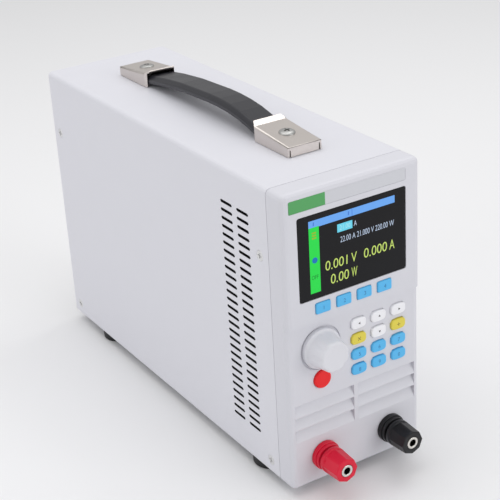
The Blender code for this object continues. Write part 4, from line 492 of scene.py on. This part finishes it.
def front_plate(bm, low, high, front_y, rear_y, corner=0.0, bulge=0.0):
    """Add a plate that faces the front: round corners, long edges that bow out by the bulge."""
    middle = (low[0] + high[0]) / 2
    points = [
        (low[0], low[1] + bulge), (high[0], low[1] + bulge),
        (high[0], high[1] - bulge), (low[0], high[1] - bulge)]
    corners = [bm.verts.new((x, front_y, z)) for x, z in points]
    loop = list(corners)
    peaks = []
    if bulge:
        peaks = [bm.verts.new((middle, front_y, z)) for z in (low[1], high[1])]
        loop.insert(1, peaks[0])
        loop.insert(4, peaks[1])
    bm.faces.new(loop)
    if peaks:
        round_corners(bm, peaks, (high[0] - low[0]) * BULGE_REACH)
    if corner:
        round_corners(bm, corners, corner)
    faces = [
        face for face in bm.faces
        if all(abs(vert.co.y - front_y) < SAME_PLACE for vert in face.verts)]
    made = bmesh.ops.extrude_face_region(bm, geom=faces)["geom"]
    moved = [item for item in made if isinstance(item, bmesh.types.BMVert)]
    bmesh.ops.translate(bm, vec=(0.0, rear_y - front_y, 0.0), verts=moved)


def arc(centre, radius, first, last, steps):
    """Points on an arc of a turned profile, between two angles in degrees."""
    points = []
    for step in range(steps + 1):
        angle = radians(first + (last - first) * step / steps)
        points.append((centre[0] + radius * cos(angle), centre[1] + radius * sin(angle)))
    return points


def spin_piece(bm, profile, centre, axis, steps):
    """Turn (radius, place) points about an axis, with places counted from the centre."""
    side = Vector((1.0, 0.0, 0.0)) if abs(axis[0]) < 0.5 else Vector((0.0, 1.0, 0.0))
    axis = Vector(axis)
    side = (side - axis * side.dot(axis)).normalized()
    verts = [
        bm.verts.new(Vector(centre) + side * radius + axis * place) for radius, place in profile]
    edges = [bm.edges.new(pair) for pair in zip(verts, verts[1:])]
    bmesh.ops.spin(
        bm, geom=verts + edges, cent=centre, axis=axis, angle=2 * pi, steps=steps,
        use_merge=True)
    bmesh.ops.remove_doubles(bm, verts=bm.verts, dist=SAME_PLACE)


PRINT_THICKNESS = 0.08 * MM
LETTER_MERGE = 1e-5
LETTER_STEPS = 6


def add_words(name, words, low, high, plane_y, ink, carrier, thin=0.0, slant=0.0,
              thickness=PRINT_THICKNESS, fill=True):
    """Print words in a box on a front face; they fill it, or keep their letters' shape."""
    curve = bpy.data.curves.new(name, "FONT")
    curve.body = words
    curve.resolution_u = LETTER_STEPS
    curve.offset = -thin
    curve.shear = slant
    holder = bpy.data.objects.new(name + "_letters", curve)
    bpy.context.scene.collection.objects.link(holder)
    graph = bpy.context.evaluated_depsgraph_get()
    mesh = bpy.data.meshes.new_from_object(holder.evaluated_get(graph))
    bpy.data.objects.remove(holder)
    bm = bmesh.new()
    bm.from_mesh(mesh)
    bpy.data.meshes.remove(mesh)
    bmesh.ops.remove_doubles(bm, verts=bm.verts, dist=LETTER_MERGE)
    across = [vert.co.x for vert in bm.verts]
    up = [vert.co.y for vert in bm.verts]
    wide = (high[0] - low[0]) / (max(across) - min(across))
    tall = (high[1] - low[1]) / (max(up) - min(up))
    left = low[0]
    if not fill:
        wide = tall
        left = (low[0] + high[0] - (max(across) - min(across)) * wide) / 2
    made = bmesh.ops.extrude_face_region(bm, geom=list(bm.faces))["geom"]
    moved = [item for item in made if isinstance(item, bmesh.types.BMVert)]
    bmesh.ops.translate(bm, vec=(0.0, 0.0, 1.0), verts=moved)
    matrix = (
        Matrix.Translation((left, plane_y, low[1])) @ Matrix.Rotation(radians(90), 4, "X")
        @ Matrix.Diagonal((wide, tall, thickness, 1.0))
        @ Matrix.Translation((-min(across), -min(up), 0.0)))
    bmesh.ops.transform(bm, matrix=matrix, verts=bm.verts)
    return finish_piece(name, bm, carrier, material=INKS[ink], smooth_angle=None)


# Key caps: the CAD key's outline less its lip and more by the growth
KEY_LIP = 0.4 * MM
KEY_GROWTH = 0.1 * MM
KEY_RIM = 0.55 * MM
KEY_CROWN = 0.10 * MM
KEY_LENGTH = 4.5 * MM
KEY_BULGE = 0.6 * MM
KEY_CORNER = 1.7 * MM
SOFT_KEY_CORNER = 1.0 * MM
# Two insets crown a key's face: share of the room inside its rim, share of the crown's rise
KEY_INSETS = ((0.45, 0.6), (0.35, 0.4))
ARROW_LENGTH = 1.3 * MM
ARROW_THICKNESS = 0.1 * MM
ARROW_PLACE = 0.3 * MM
MARK_HEIGHT = 2.1 * MM
MARK_HALF_WIDTH = MARK_HEIGHT * 0.36
MARK_THICKNESS = 0.03 * MM
SOFT_KEYS = ["soft_key_%d" % number for number in range(1, 5)]
NUMBER_KEYS = ["mode_key_%d" % number for number in range(1, 7)]
ARROW_KEYS = {
    "arrow_left_key": 180, "arrow_up_key": 90, "arrow_right_key": 0, "arrow_down_key": -90}


def build_key(node, corner, bulge):
    """Moulded key cap with a rounded rim and a slightly crowned face."""
    low, high, middle = extent(node)
    edge = KEY_LIP - KEY_GROWTH
    bm = bmesh.new()
    front_plate(
        bm, (low.x + edge, low.z + edge), (high.x - edge, high.z - edge),
        low.y, low.y + KEY_LENGTH, corner, bulge)
    bevel(bm, edges_at(bm, low.y), KEY_RIM, 5)
    face = min(bm.faces, key=lambda item: item.calc_center_median().y)
    for share, rise in KEY_INSETS:
        bmesh.ops.inset_region(
            bm, faces=[face], thickness=(corner - KEY_RIM) * share, depth=0.0)
        bmesh.ops.translate(bm, vec=(0.0, -KEY_CROWN * rise, 0.0), verts=face.verts)
    finish_piece(node + "_cap", bm, node, stands_for=[node], smooth_angle=50)
    return middle, low.y - KEY_CROWN


def print_number(node, number, middle, plane, ink):
    """Print one digit or sign in the middle of a key."""
    add_words(
        node + "_number", str(number),
        (middle.x - MARK_HALF_WIDTH, middle.z - MARK_HEIGHT / 2),
        (middle.x + MARK_HALF_WIDTH, middle.z + MARK_HEIGHT / 2),
        plane, ink, node, thickness=MARK_THICKNESS, fill=False)


def print_arrow(node, turn, middle, plane):
    """Print a small solid arrow head on a key, turned from +X by an angle in degrees."""
    bm = bmesh.new()
    verts = bmesh.ops.create_cone(
        bm, cap_ends=True, segments=3, radius1=ARROW_LENGTH * 0.6, radius2=ARROW_LENGTH * 0.6,
        depth=ARROW_THICKNESS)["verts"]
    lie = Matrix.Rotation(radians(90), 4, "X")
    # The triangle's first corner points along +Y, and a quarter turn back points it along +X
    aim = Matrix.Rotation(radians(turn - 90), 4, "Z")
    place = Matrix.Translation((middle.x + ARROW_PLACE, plane, middle.z))
    bmesh.ops.transform(bm, matrix=place @ lie @ aim, verts=verts)
    finish_piece(node + "_arrow", bm, node, material=INKS["black"], smooth_angle=None)


def build_keys():
    """All keys with their marks."""
    for number, node in enumerate(SOFT_KEYS, start=1):
        print_number(node, number, *build_key(node, SOFT_KEY_CORNER, 0.0), "blue")
    for node, turn in ARROW_KEYS.items():
        print_arrow(node, turn, *build_key(node, KEY_CORNER, KEY_BULGE))
    for number, node in enumerate(NUMBER_KEYS, start=5):
        print_number(node, number % 10, *build_key(node, KEY_CORNER, KEY_BULGE), "blue")
    for node, sign in (("shift_key", "×"), ("enter_key", "+")):
        print_number(node, sign, *build_key(node, KEY_CORNER, KEY_BULGE), "olive")


# Knob: shares of the skirt's radius, and flutes that fade in from the face and out at the skirt
KNOB_FLUTES = 8
KNOB_FLUTE_DEPTH = 0.55 * MM
KNOB_EDGE = 1.4 * MM
KNOB_BODY_SHARE = 0.885
KNOB_TIP_SHARE = 0.775
KNOB_SIDE_STEPS = 10
KNOB_WALL = 1.6 * MM
KNOB_HOLLOW = 1.4 * MM
KNOB_FACE = 2.0 * MM
HUB_GAP = 0.1 * MM
SKIRT_LENGTH = 2.7 * MM
SKIRT_EDGE = 0.5 * MM
SKIRT_NECK = 0.7 * MM
FADE_IN = 1.5 * MM
FADE_OUT = 2.0 * MM
SLACK = 0.1 * MM


def knob_profile(radius, reach, hub_radius):
    """Half section of the knob: dished front, tapered side, skirt, and a bore for the shaft."""
    body = radius * KNOB_BODY_SHARE
    tip = radius * KNOB_TIP_SHARE
    skirt_front = reach - SKIRT_LENGTH
    hollow = radius - KNOB_WALL
    profile = [(0.0, 0.30 * MM), (tip * 0.45, 0.26 * MM), (tip * 0.72, 0.10 * MM)]
    profile += arc((tip - KNOB_EDGE, KNOB_EDGE), KNOB_EDGE, -100, -5, 8)
    for step in range(1, KNOB_SIDE_STEPS + 1):
        share = step / KNOB_SIDE_STEPS
        side = KNOB_EDGE + (skirt_front - KNOB_EDGE - SKIRT_NECK) * share
        profile.append((tip + (body - tip) * share, side))
    profile.append((body + 0.25 * MM, skirt_front - 0.2 * MM))
    profile += arc((radius - SKIRT_EDGE, skirt_front + SKIRT_EDGE), SKIRT_EDGE, -90, 0, 4)
    return profile + [
        (radius, reach), (hollow, reach), (hollow, reach - KNOB_HOLLOW),
        (hub_radius, reach - KNOB_HOLLOW), (hub_radius, KNOB_FACE), (0.0, KNOB_FACE)]


def build_knob():
    """Turned knob with a skirt, softly fluted sides and a dished front."""
    low, high, middle = extent("knob")
    front = low.y
    reach = high.y - low.y
    radius = (high.x - low.x) / 2
    skirt_front = reach - SKIRT_LENGTH
    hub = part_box("encoder_shaft")
    hub_radius = (hub[1].x - hub[0].x) / 2 + HUB_GAP
    bm = bmesh.new()
    spin_piece(
        bm, knob_profile(radius, reach, hub_radius), (middle.x, front, middle.z), ALONG_Y, 96)
    fade_start = radius * KNOB_TIP_SHARE * 0.7
    for vert in bm.verts:
        place = vert.co.y - front
        across = vert.co.x - middle.x
        up = vert.co.z - middle.z
        distance = hypot(across, up)
        in_bore = place > KNOB_FACE - SLACK and distance < hub_radius + SLACK
        if distance < fade_start or in_bore or place > skirt_front - SLACK:
            continue
        wave = 0.5 + 0.5 * cos(KNOB_FLUTES * atan2(up, across))
        fade = min(1.0, (skirt_front - place) / FADE_OUT)
        fade *= min(1.0, (distance - fade_start) / FADE_IN)
        shrink = 1 - KNOB_FLUTE_DEPTH * wave ** 2 * fade / distance
        vert.co.x = middle.x + across * shrink
        vert.co.z = middle.z + up * shrink
    finish_piece("knob_moulding", bm, "knob", stands_for=["knob"], smooth_angle=50)


BUTTON_GROWTH = 0.15 * MM
BUTTON_STEM = 1.6 * MM
BUTTON_LENGTH = 4.4 * MM
BUTTON_RIM = 0.9 * MM


def build_power_button():
    """Round red push button with a wide softened rim."""
    low, high, middle = extent("power_button")
    radius = (high.x - low.x) / 2 + BUTTON_GROWTH
    length = high.y - low.y
    profile = [(0.0, 0.12 * MM), (radius * 0.5, 0.06 * MM)]
    profile += arc((radius - BUTTON_RIM, BUTTON_RIM), BUTTON_RIM, -90, 0, 6)
    profile += [
        (radius, BUTTON_LENGTH), (BUTTON_STEM, BUTTON_LENGTH), (BUTTON_STEM, length), (0.0, length)]
    bm = bmesh.new()
    spin_piece(bm, profile, (middle.x, low.y, middle.z), ALONG_Y, 64)
    finish_piece("power_button_cap", bm, "power_button", stands_for=["power_button"])


# Binding posts: screw cap with its ring, base with collar and flange, stud with its socket
CAP_SIDES = 8
CAP_TAPER = 0.6 * MM
CAP_RING = 3.2 * MM
CAP_BORE = 3.65 * MM
CAP_RIDGE = 0.45 * MM
CAP_NOSE = 0.6 * MM
RING_INSET = 0.05 * MM
RING_GROOVE_DEPTH = 0.3 * MM
RING_GROOVE_WIDTH = 0.5 * MM
BORE_REACH = 1.0 * MM
COLLAR_DEPTH = 2.1 * MM
COLLAR_INSET = 0.6 * MM
COLLAR_GROOVE = 0.15 * MM
FLANGE_DEPTH = 2.6 * MM
BUSH_SHARE = 0.6
ROUNDING = 0.4 * MM
SOCKET_RADIUS = 2.0 * MM
SOCKET_DEPTH = 18.2 * MM
SOCKET_TIP = 0.8 * MM
SOCKET_SLACK = 0.05 * MM
STUD_RADIUS = 3.4 * MM
STUD_LIP = 0.3 * MM
STUD_TAIL = 2.4 * MM
NUT_FROM_END = 12.0 * MM
NUT_LENGTH = 2.5 * MM


def build_post_base(node):
    """Flanged base with a collar, a fine groove and a bush that passes the panel."""
    low, high, middle = extent(node)
    depth = high.y - low.y
    radius = (high.x - low.x) / 2
    collar = radius - COLLAR_INSET
    groove = collar - COLLAR_GROOVE
    bush = radius * BUSH_SHARE
    flange_rear = COLLAR_DEPTH + FLANGE_DEPTH
    profile = [(CAP_BORE, 0.0)]
    profile += arc((collar - ROUNDING, ROUNDING), ROUNDING, -90, 0, 4)
    profile += [
        (collar, COLLAR_DEPTH - 0.4 * MM), (groove, COLLAR_DEPTH - 0.25 * MM),
        (groove, COLLAR_DEPTH)]
    profile += arc((radius - ROUNDING, COLLAR_DEPTH + ROUNDING), ROUNDING, -90, 0, 4)
    profile += [
        (radius, flange_rear), (bush, flange_rear), (bush, depth), (CAP_BORE, depth),
        (CAP_BORE, 0.0)]
    bm = bmesh.new()
    spin_piece(bm, profile, (middle.x, low.y, middle.z), ALONG_Y, 72)
    finish_piece(node + "_moulding", bm, node, stands_for=[node])


def build_post_cap(node):
    """Screw cap: a tapered eight-sided grip and a turned ring behind it."""
    low, high, middle = extent(node)
    centre = Vector((middle.x, low.y, middle.z))
    length = high.y - low.y
    rear_radius = (high.x - low.x) / 2
    grip = length - CAP_RING
    bm = bmesh.new()
    made = bmesh.ops.create_cone(
        bm, cap_ends=True, segments=CAP_SIDES, radius1=rear_radius - CAP_TAPER,
        radius2=rear_radius, depth=grip)["verts"]
    place = Matrix.Translation(centre + Vector((0.0, grip / 2, 0.0)))
    bmesh.ops.transform(bm, matrix=place @ Matrix.Rotation(radians(-90), 4, "X"), verts=made)
    bevel(bm, [edge for edge in bm.edges if run_along_y(edge) > 1 * MM], CAP_RIDGE, 3)
    bevel(bm, edges_at(bm, low.y), CAP_NOSE, 3)
    tool = bmesh.new()
    add_rod(tool, centre, ALONG_Y, CAP_BORE, -BORE_REACH, length + BORE_REACH, 48)
    finish_piece(node + "_grip", carve(bm, tool), node, stands_for=[node], smooth_angle=28)

    outer = rear_radius - RING_INSET
    groove = outer - RING_GROOVE_DEPTH
    ring = grip + RING_GROOVE_WIDTH
    profile = [(CAP_BORE, grip), (groove, grip), (groove, ring)]
    profile += arc((outer - ROUNDING, ring + ROUNDING), ROUNDING, -60, 0, 3)
    profile += arc((outer - ROUNDING, length - ROUNDING), ROUNDING, 0, 90, 3)
    profile += [(CAP_BORE, length), (CAP_BORE, grip)]
    bm = bmesh.new()
    spin_piece(bm, profile, centre, ALONG_Y, 72)
    finish_piece(node + "_skirt", bm, node)


def build_post_stud(node):
    """Nickel-plated stud with a deep socket, a nut and a tail; the socket's inside is painted
    shade, a dark metal.
    """
    low, high, middle = extent(node)
    nut = (high.x - low.x) / 2
    length = high.y - low.y
    nut_front = length - NUT_FROM_END
    nut_rear = nut_front + NUT_LENGTH
    profile = [
        (0.0, SOCKET_DEPTH + SOCKET_TIP), (SOCKET_RADIUS, SOCKET_DEPTH), (SOCKET_RADIUS, STUD_LIP)]
    profile += arc((SOCKET_RADIUS + STUD_LIP, STUD_LIP), STUD_LIP, 180, 270, 3)
    profile += arc((STUD_RADIUS - STUD_LIP, STUD_LIP), STUD_LIP, -90, 0, 3)
    profile += [
        (STUD_RADIUS, nut_front), (nut, nut_front), (nut, nut_rear), (STUD_TAIL, nut_rear),
        (STUD_TAIL, length), (0.0, length)]
    bm = bmesh.new()
    spin_piece(bm, profile, (middle.x, low.y, middle.z), ALONG_Y, 64)
    # Faces deep in the socket take the second material: painted shade, as the hole lies in shadow
    for face in bm.faces:
        place = face.calc_center_median()
        distance = hypot(place.x - middle.x, place.z - middle.z)
        deep = STUD_LIP < place.y - low.y < SOCKET_DEPTH + MM
        if deep and distance < SOCKET_RADIUS + SOCKET_SLACK:
            face.material_index = 1
    piece = finish_piece(node + "_turned", bm, node, stands_for=[node])
    piece.data.materials.append(SOCKET_PAINTED_SHADE)


def build_binding_posts():
    """Red and black binding posts: base, screw cap and stud."""
    for colour in ("red", "black"):
        build_post_base(colour + "_post_base")
        build_post_cap(colour + "_post_cap")
        build_post_stud(colour + "_post_stud")


CASE_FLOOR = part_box("front_bezel")[0].z
STRIP = ((-37.5 * MM, 156.3 * MM), (32.4 * MM, 162.9 * MM))
STRIP_SPLIT = -16.3 * MM
STRIP_RECESS = 0.3 * MM
STRIP_THICKNESS = 0.2 * MM
# Patches of the display's picture: name, left, right, bottom and top in mm, ink, lift.
# The heights are counted from the underside of the case.
SCREEN_PATCHES = (
    ("screen_top_bar", -26.5, 25.7, 145.9, 149.8, "bar_blue", 0.0),
    ("screen_status_column", -26.5, -20.5, 111.0, 146.2, "green", 0.01),
    ("screen_bar_divider", -0.7, -0.4, 146.1, 149.6, "dark_blue", 0.03),
    ("screen_set_box", -9.6, -0.5, 139.4, 143.7, "cyan", 0.0),
    ("screen_glyph_low", -24.7, -22.2, 140.0, 140.8, "orange", 0.03),
    ("screen_glyph_middle", -24.7, -22.2, 141.4, 142.2, "orange", 0.03),
    ("screen_glyph_high", -24.7, -22.2, 142.8, 143.6, "orange", 0.03),
)
# Words of the display's picture, in the same way, and how much thinner their strokes are
SCREEN_WORDS = (
    ("screen_volts", "0.001", -17.3, -3.9, 120.9, 126.0, "yellow", 0.004),
    ("screen_volts_unit", "V", -1.5, 1.8, 120.9, 126.0, "yellow", 0.004),
    ("screen_amperes", "0.000", 6.2, 20.6, 120.9, 126.0, "yellow", 0.004),
    ("screen_amperes_unit", "A", 22.1, 25.3, 120.9, 126.0, "yellow", 0.004),
    ("screen_watts", "0.00", -14.3, -3.3, 112.8, 118.0, "yellow", 0.004),
    ("screen_watts_unit", "W", -1.6, 1.9, 112.8, 118.0, "yellow", 0.008),
    ("screen_set_unit", "A", 0.4, 2.1, 140.2, 142.9, "white", 0.005),
    ("screen_set_number", "21.00", -8.2, -1.8, 140.4, 142.8, "pale_cyan", 0.0),
    ("screen_set_values", "22.00 A 21.000 V 220.00 W", -7.9, 25.2, 133.7, 136.7, "white", 0.008),
    ("screen_state", "OFF", -25.6, -21.6, 118.4, 120.6, "dark_green", 0.0),
    ("screen_bar_page", "1", -24.0, -23.2, 146.9, 148.8, "dark_blue", 0.0),
    ("screen_bar_line", "1", -3.1, -2.3, 146.9, 148.8, "dark_blue", 0.0),
)
SCREEN_SLANT = 0.05
# Thickness of a patch, and place of the status dot, in mm
SCREEN_THICKNESS = 0.05
SCREEN_DOT = (-23.45, 128.6)
SCREEN_DOT_RADIUS = 1.6 * MM
SCREEN_DOT_THICKNESS = 0.09 * MM


def build_name_strip():
    """Bare name strip in its shallow recess: a green end and a grey field."""
    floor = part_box("front_bezel")[0].y + STRIP_RECESS
    (left, bottom), (right, top) = STRIP
    bottom += CASE_FLOOR
    top += CASE_FLOOR
    front = floor - STRIP_THICKNESS
    fields = (("green_field", left, STRIP_SPLIT), ("grey_field", STRIP_SPLIT, right))
    for field, start, end in fields:
        bm = bmesh.new()
        front_plate(bm, (start, bottom), (end, top), front, floor)
        finish_piece(
            "strip_" + field, bm, "front_bezel", material=INKS[field], smooth_angle=None)


def on_screen(across, up):
    """Place on the front, in metres, of a point of the display's picture in mm."""
    return across * MM, up * MM + CASE_FLOOR


def build_display():
    """Picture behind the window: bar, status column, set values and large readings."""
    carrier = "display_window"
    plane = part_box(carrier)[0].y
    for name, left, right, bottom, top, ink, lift in SCREEN_PATCHES:
        bm = bmesh.new()
        front_plate(
            bm, on_screen(left, bottom), on_screen(right, top),
            plane - (SCREEN_THICKNESS + lift) * MM, plane)
        finish_piece(name, bm, carrier, material=INKS[ink], smooth_angle=None)
    across, up = on_screen(*SCREEN_DOT)
    bm = bmesh.new()
    add_rod(
        bm, (across, plane, up), ALONG_Y, SCREEN_DOT_RADIUS, -SCREEN_DOT_THICKNESS, 0.0)
    finish_piece("screen_dot", bm, carrier, material=INKS["dot_blue"], smooth_angle=None)
    for name, words, left, right, bottom, top, ink, thin in SCREEN_WORDS:
        add_words(
            name, words, on_screen(left, bottom), on_screen(right, top), plane, ink, carrier,
            thin=thin, slant=SCREEN_SLANT)


# Cross recess: shares of the head's radius, and its turn in radians
RECESS_WIDTH = 0.13
RECESS_SPAN = 0.60
RECESS_TURN = 0.2


def cut_cross(bm, centre, axis, radius, depth):
    """Cut a screw's cross recess, one bar after the other."""
    size = Matrix.Diagonal(
        (radius * RECESS_SPAN * 2, radius * RECESS_WIDTH * 2, depth * 2, 1.0))
    for quarter in (RECESS_TURN, RECESS_TURN + pi / 2):
        tool = bmesh.new()
        verts = bmesh.ops.create_cube(tool, size=1.0)["verts"]
        place = Matrix.Translation(centre) @ turn_to(axis) @ Matrix.Rotation(quarter, 4, "Z")
        bmesh.ops.transform(tool, matrix=place @ size, verts=verts)
        bm = carve(bm, tool)
    return bm


CASE_SCREWS = 8
SCREW_RIM = 0.15 * MM
SCREW_RECESS = 0.5 * MM


def build_case_screws():
    """Countersunk screws with a cross recess, level with the cover's sides."""
    for number in range(1, CASE_SCREWS + 1):
        node = "case_screw_%d" % number
        low, high, middle = extent(node)
        side = 1 if middle.x > 0 else -1
        face = high.x if side > 0 else low.x
        radius = (high.y - low.y) / 2
        length = high.x - low.x
        shank = radius * 0.5
        centre = Vector((face, middle.y, middle.z))
        axis = Vector((-side, 0.0, 0.0))
        profile = [
            (0.0, 0.0), (radius - SCREW_RIM, 0.0), (radius, SCREW_RIM),
            (shank, radius - shank), (shank, length), (0.0, length)]
        bm = bmesh.new()
        spin_piece(bm, profile, centre, axis, 32)
        bm = cut_cross(bm, centre, axis, radius, SCREW_RECESS)
        finish_piece(
            node + "_countersunk", bm, node, stands_for=[node], material=SCREW_METAL)


# Domed handle screws
DOME_HEIGHT = 1.5 * MM
DOME_SHANK = 1.7 * MM
DOME_SHANK_LENGTH = 4.0 * MM
DOME_RECESS = 1.0 * MM
DOME_RECESS_SHARE = 0.75


def end_cap_top(node):
    """A point on an end cap's sloping top and the top's normal."""
    bm = merged_copy(node)
    top = max((face for face in bm.faces if face.normal.z > 0.9), key=lambda face: face.calc_area())
    point, normal = top.verts[0].co.copy(), top.normal.copy()
    bm.free()
    return point, normal


def build_handle_screws():
    """Domed screws with a cross recess, square to the sloping tops of the end caps."""
    for end in ("front", "rear"):
        node = "handle_screw_" + end
        low, high, middle = extent(node)
        radius = (high.x - low.x) / 2
        point, normal = end_cap_top("handle_cap_" + end)
        aside = (point.x - middle.x) * normal.x + (point.y - middle.y) * normal.y
        seat = Vector((middle.x, middle.y, point.z + aside / normal.z))
        crown = seat + normal * DOME_HEIGHT
        shank_end = DOME_HEIGHT + DOME_SHANK_LENGTH
        profile = [
            (0.0, 0.0), (radius * 0.35, 0.07 * MM), (radius * 0.62, 0.26 * MM),
            (radius * 0.84, 0.58 * MM), (radius * 0.96, 0.95 * MM), (radius, 1.2 * MM),
            (radius, DOME_HEIGHT), (DOME_SHANK, DOME_HEIGHT), (DOME_SHANK, shank_end),
            (0.0, shank_end)]
        bm = bmesh.new()
        spin_piece(bm, profile, crown, -normal, 48)
        bm = cut_cross(bm, crown, normal, radius * DOME_RECESS_SHARE, DOME_RECESS)
        finish_piece(node + "_domed", bm, node, stands_for=[node], smooth_angle=40)


END_CAP_EDGE = 0.25 * MM
END_CAP_FOOT = 2.0 * MM
SHORTEST_CAP_EDGE = 2.5 * MM


def build_handle_caps():
    """Pressed steel end caps with softened edges."""
    for end in ("front", "rear"):
        node = "handle_cap_" + end
        bm = merged_copy(node)
        foot = extent(node)[0].z + END_CAP_FOOT
        edges = [
            edge for edge in sharp_edges(bm, 25)
            if edge.calc_length() > SHORTEST_CAP_EDGE
            and max(vert.co.z for vert in edge.verts) > foot]
        bevel(bm, edges, END_CAP_EDGE, 2)
        finish_piece(node + "_pressed", bm, node, stands_for=[node], smooth_angle=30)


STRAP_EDGE = 0.5 * MM
SHORTEST_STRAP_EDGE = 4.0 * MM


def build_strap():
    """Smooth rubber strap: the CAD strap's own section with soft edges along its length."""
    bm = merged_copy("handle_strap")
    bmesh.ops.dissolve_limit(bm, angle_limit=radians(2), verts=bm.verts, edges=bm.edges)
    long_edges = [
        edge for edge in sharp_edges(bm, 20) if run_along_y(edge) > SHORTEST_STRAP_EDGE]
    bevel(bm, long_edges, STRAP_EDGE, 3)
    finish_piece(
        "strap_moulding", bm, "handle_strap", stands_for=["handle_strap"], smooth_angle=40)


FOOT_HOLLOW = 0.8 * MM
FOOT_RIM = 1.2 * MM
FOOT_TAPER = 0.4 * MM
FOOT_STEM = 2.2 * MM


def build_feet():
    """Round rubber feet with a rounded lower rim and a moulded ring under them."""
    for place in ("front_left", "front_right", "rear_left", "rear_right"):
        node = "foot_" + place
        low, high, middle = extent(node)
        radius = (high.x - low.x) / 2
        height = CASE_FLOOR - low.z
        length = high.z - low.z
        profile = [(0.0, FOOT_HOLLOW), (radius * 0.45, FOOT_HOLLOW), (radius * 0.5, 0.0)]
        profile += arc((radius - FOOT_RIM - FOOT_TAPER, FOOT_RIM), FOOT_RIM, -90, 0, 5)
        profile += [
            (radius - 0.1 * MM, height - 0.3 * MM), (radius - 0.3 * MM, height),
            (FOOT_STEM, height), (FOOT_STEM, length), (0.0, length)]
        bm = bmesh.new()
        spin_piece(bm, profile, (middle.x, middle.y, low.z), (0.0, 0.0, 1.0), 48)
        finish_piece(node + "_moulded", bm, node, stands_for=[node])


# The folds of the cover lie within this depth under its top
COVER_FOLD = 4.0 * MM
ON_EDGE = 0.05 * MM


def build_cover():
    """Folded cover with its paint outside and painted shade, near black, on its inner side and slot
    walls.
    """
    bm = merged_copy("top_cover")
    piece = finish_piece("cover_sheet", bm, "top_cover", stands_for=["top_cover"])
    piece.data.materials.append(COVER_PAINTED_SHADE)
    low, high, middle = extent("top_cover")
    # Faces that are not the outside paint take painted shade: the inner side and the slot walls
    for face in piece.data.polygons:
        outward = face.normal.x if face.center.x > middle.x else -face.normal.x
        on_top = face.normal.z > 0.3 and face.center.z > high.z - COVER_FOLD
        at_end = min(face.center.y - low.y, high.y - face.center.y) < ON_EDGE
        at_foot = face.center.z < low.z + ON_EDGE
        if not (outward > 0.3 or on_top or at_end or at_foot):
            face.material_index = 1


BEZEL_EDGE = 0.7 * MM
RIM_DEPTH = 1.2 * MM
RIM_SLACK = 1e-5


def build_bezel():
    """Front moulding with its outer front rim rounded."""
    bm = merged_copy("front_bezel")
    low, high, middle = extent("front_bezel")

    def on_rim(vert):
        """Whether a corner lies on the outer rim of the moulding's front."""
        place = vert.co
        gap = min(
            abs(place.x - low.x), abs(place.x - high.x), abs(place.z - low.z),
            abs(place.z - high.z))
        return gap < RIM_SLACK and place.y < low.y + RIM_DEPTH

    edges = [
        edge for edge in sharp_edges(bm, 60)
        if all(on_rim(vert) for vert in edge.verts) and run_along_y(edge) < RIM_SLACK]
    bevel(bm, edges, BEZEL_EDGE, 3)
    finish_piece(
        "bezel_moulding", bm, "front_bezel", stands_for=["front_bezel"], smooth_angle=32)


FLOOR_COLOUR = (0.86, 0.86, 0.87, 1.0)
FLOOR_ROUGHNESS = 0.9
FLOOR_HALF_WIDTH = 12.0


def build_floor():
    """Plain pale floor that runs past the picture."""
    mesh = bpy.data.meshes.new("floor")
    bm = bmesh.new()
    bmesh.ops.create_grid(bm, x_segments=1, y_segments=1, size=FLOOR_HALF_WIDTH)
    bm.to_mesh(mesh)
    bm.free()
    floor = bpy.data.objects.new("floor", mesh)
    bpy.context.scene.collection.objects.link(floor)
    material, tree, shader = new_material("floor_white")
    shader.inputs["Base Color"].default_value = FLOOR_COLOUR
    shader.inputs["Roughness"].default_value = FLOOR_ROUGHNESS
    shader.inputs["Specular IOR Level"].default_value = 0.0
    mesh.materials.append(material)


WORLD_STRENGTH = 0.61
LIGHT_TARGET = Vector((0.0, 0.0, 0.09))
# Soft square lamps: name, place, width in metres, power in watts
LAMPS = (
    ("top_lamp", (-0.15, 0.10, 1.30), 1.2, 5.8),
    ("left_lamp", (-1.30, 0.20, 0.60), 0.9, 2.4),
    ("front_lamp", (0.60, -1.40, 0.55), 0.8, 5.2),
    ("right_lamp", (0.55, 0.14, 1.08), 0.4, 1.4),
)


def add_lamp(name, place, width, power):
    """Soft square lamp that looks at the object."""
    data = bpy.data.lights.new(name, "AREA")
    data.size = width
    data.energy = power
    lamp = bpy.data.objects.new(name, data)
    lamp.location = place
    lamp.rotation_euler = (LIGHT_TARGET - Vector(place)).to_track_quat("-Z", "Y").to_euler()
    bpy.context.scene.collection.objects.link(lamp)


def build_light():
    """Even studio light: a bright world and soft lamps on four sides."""
    world = bpy.data.worlds.new("studio")
    bpy.context.scene.world = world
    world.use_nodes = True
    background = world.node_tree.nodes["Background"]
    background.inputs["Color"].default_value = (1.0, 1.0, 1.0, 1.0)
    background.inputs["Strength"].default_value = WORLD_STRENGTH
    for lamp in LAMPS:
        add_lamp(*lamp)


def build_camera():
    """Camera at the photograph's place."""
    data = bpy.data.cameras.new("camera")
    data.lens = CAMERA_LENS
    data.sensor_width = SENSOR_WIDTH
    data.sensor_fit = "HORIZONTAL"
    data.shift_x, data.shift_y = CAMERA_SHIFT
    camera = bpy.data.objects.new("camera", data)
    camera.location = CAMERA_PLACE
    camera.rotation_euler = CAMERA_TURN
    bpy.context.scene.collection.objects.link(camera)
    bpy.context.scene.camera = camera


build_camera()
build_light()
build_floor()
build_cover()
build_bezel()
build_keys()
build_knob()
build_power_button()
build_binding_posts()
build_name_strip()
build_display()
build_case_screws()
build_handle_screws()
build_handle_caps()
build_strap()
build_feet()

bpy.context.scene.view_settings.view_transform = "Standard"
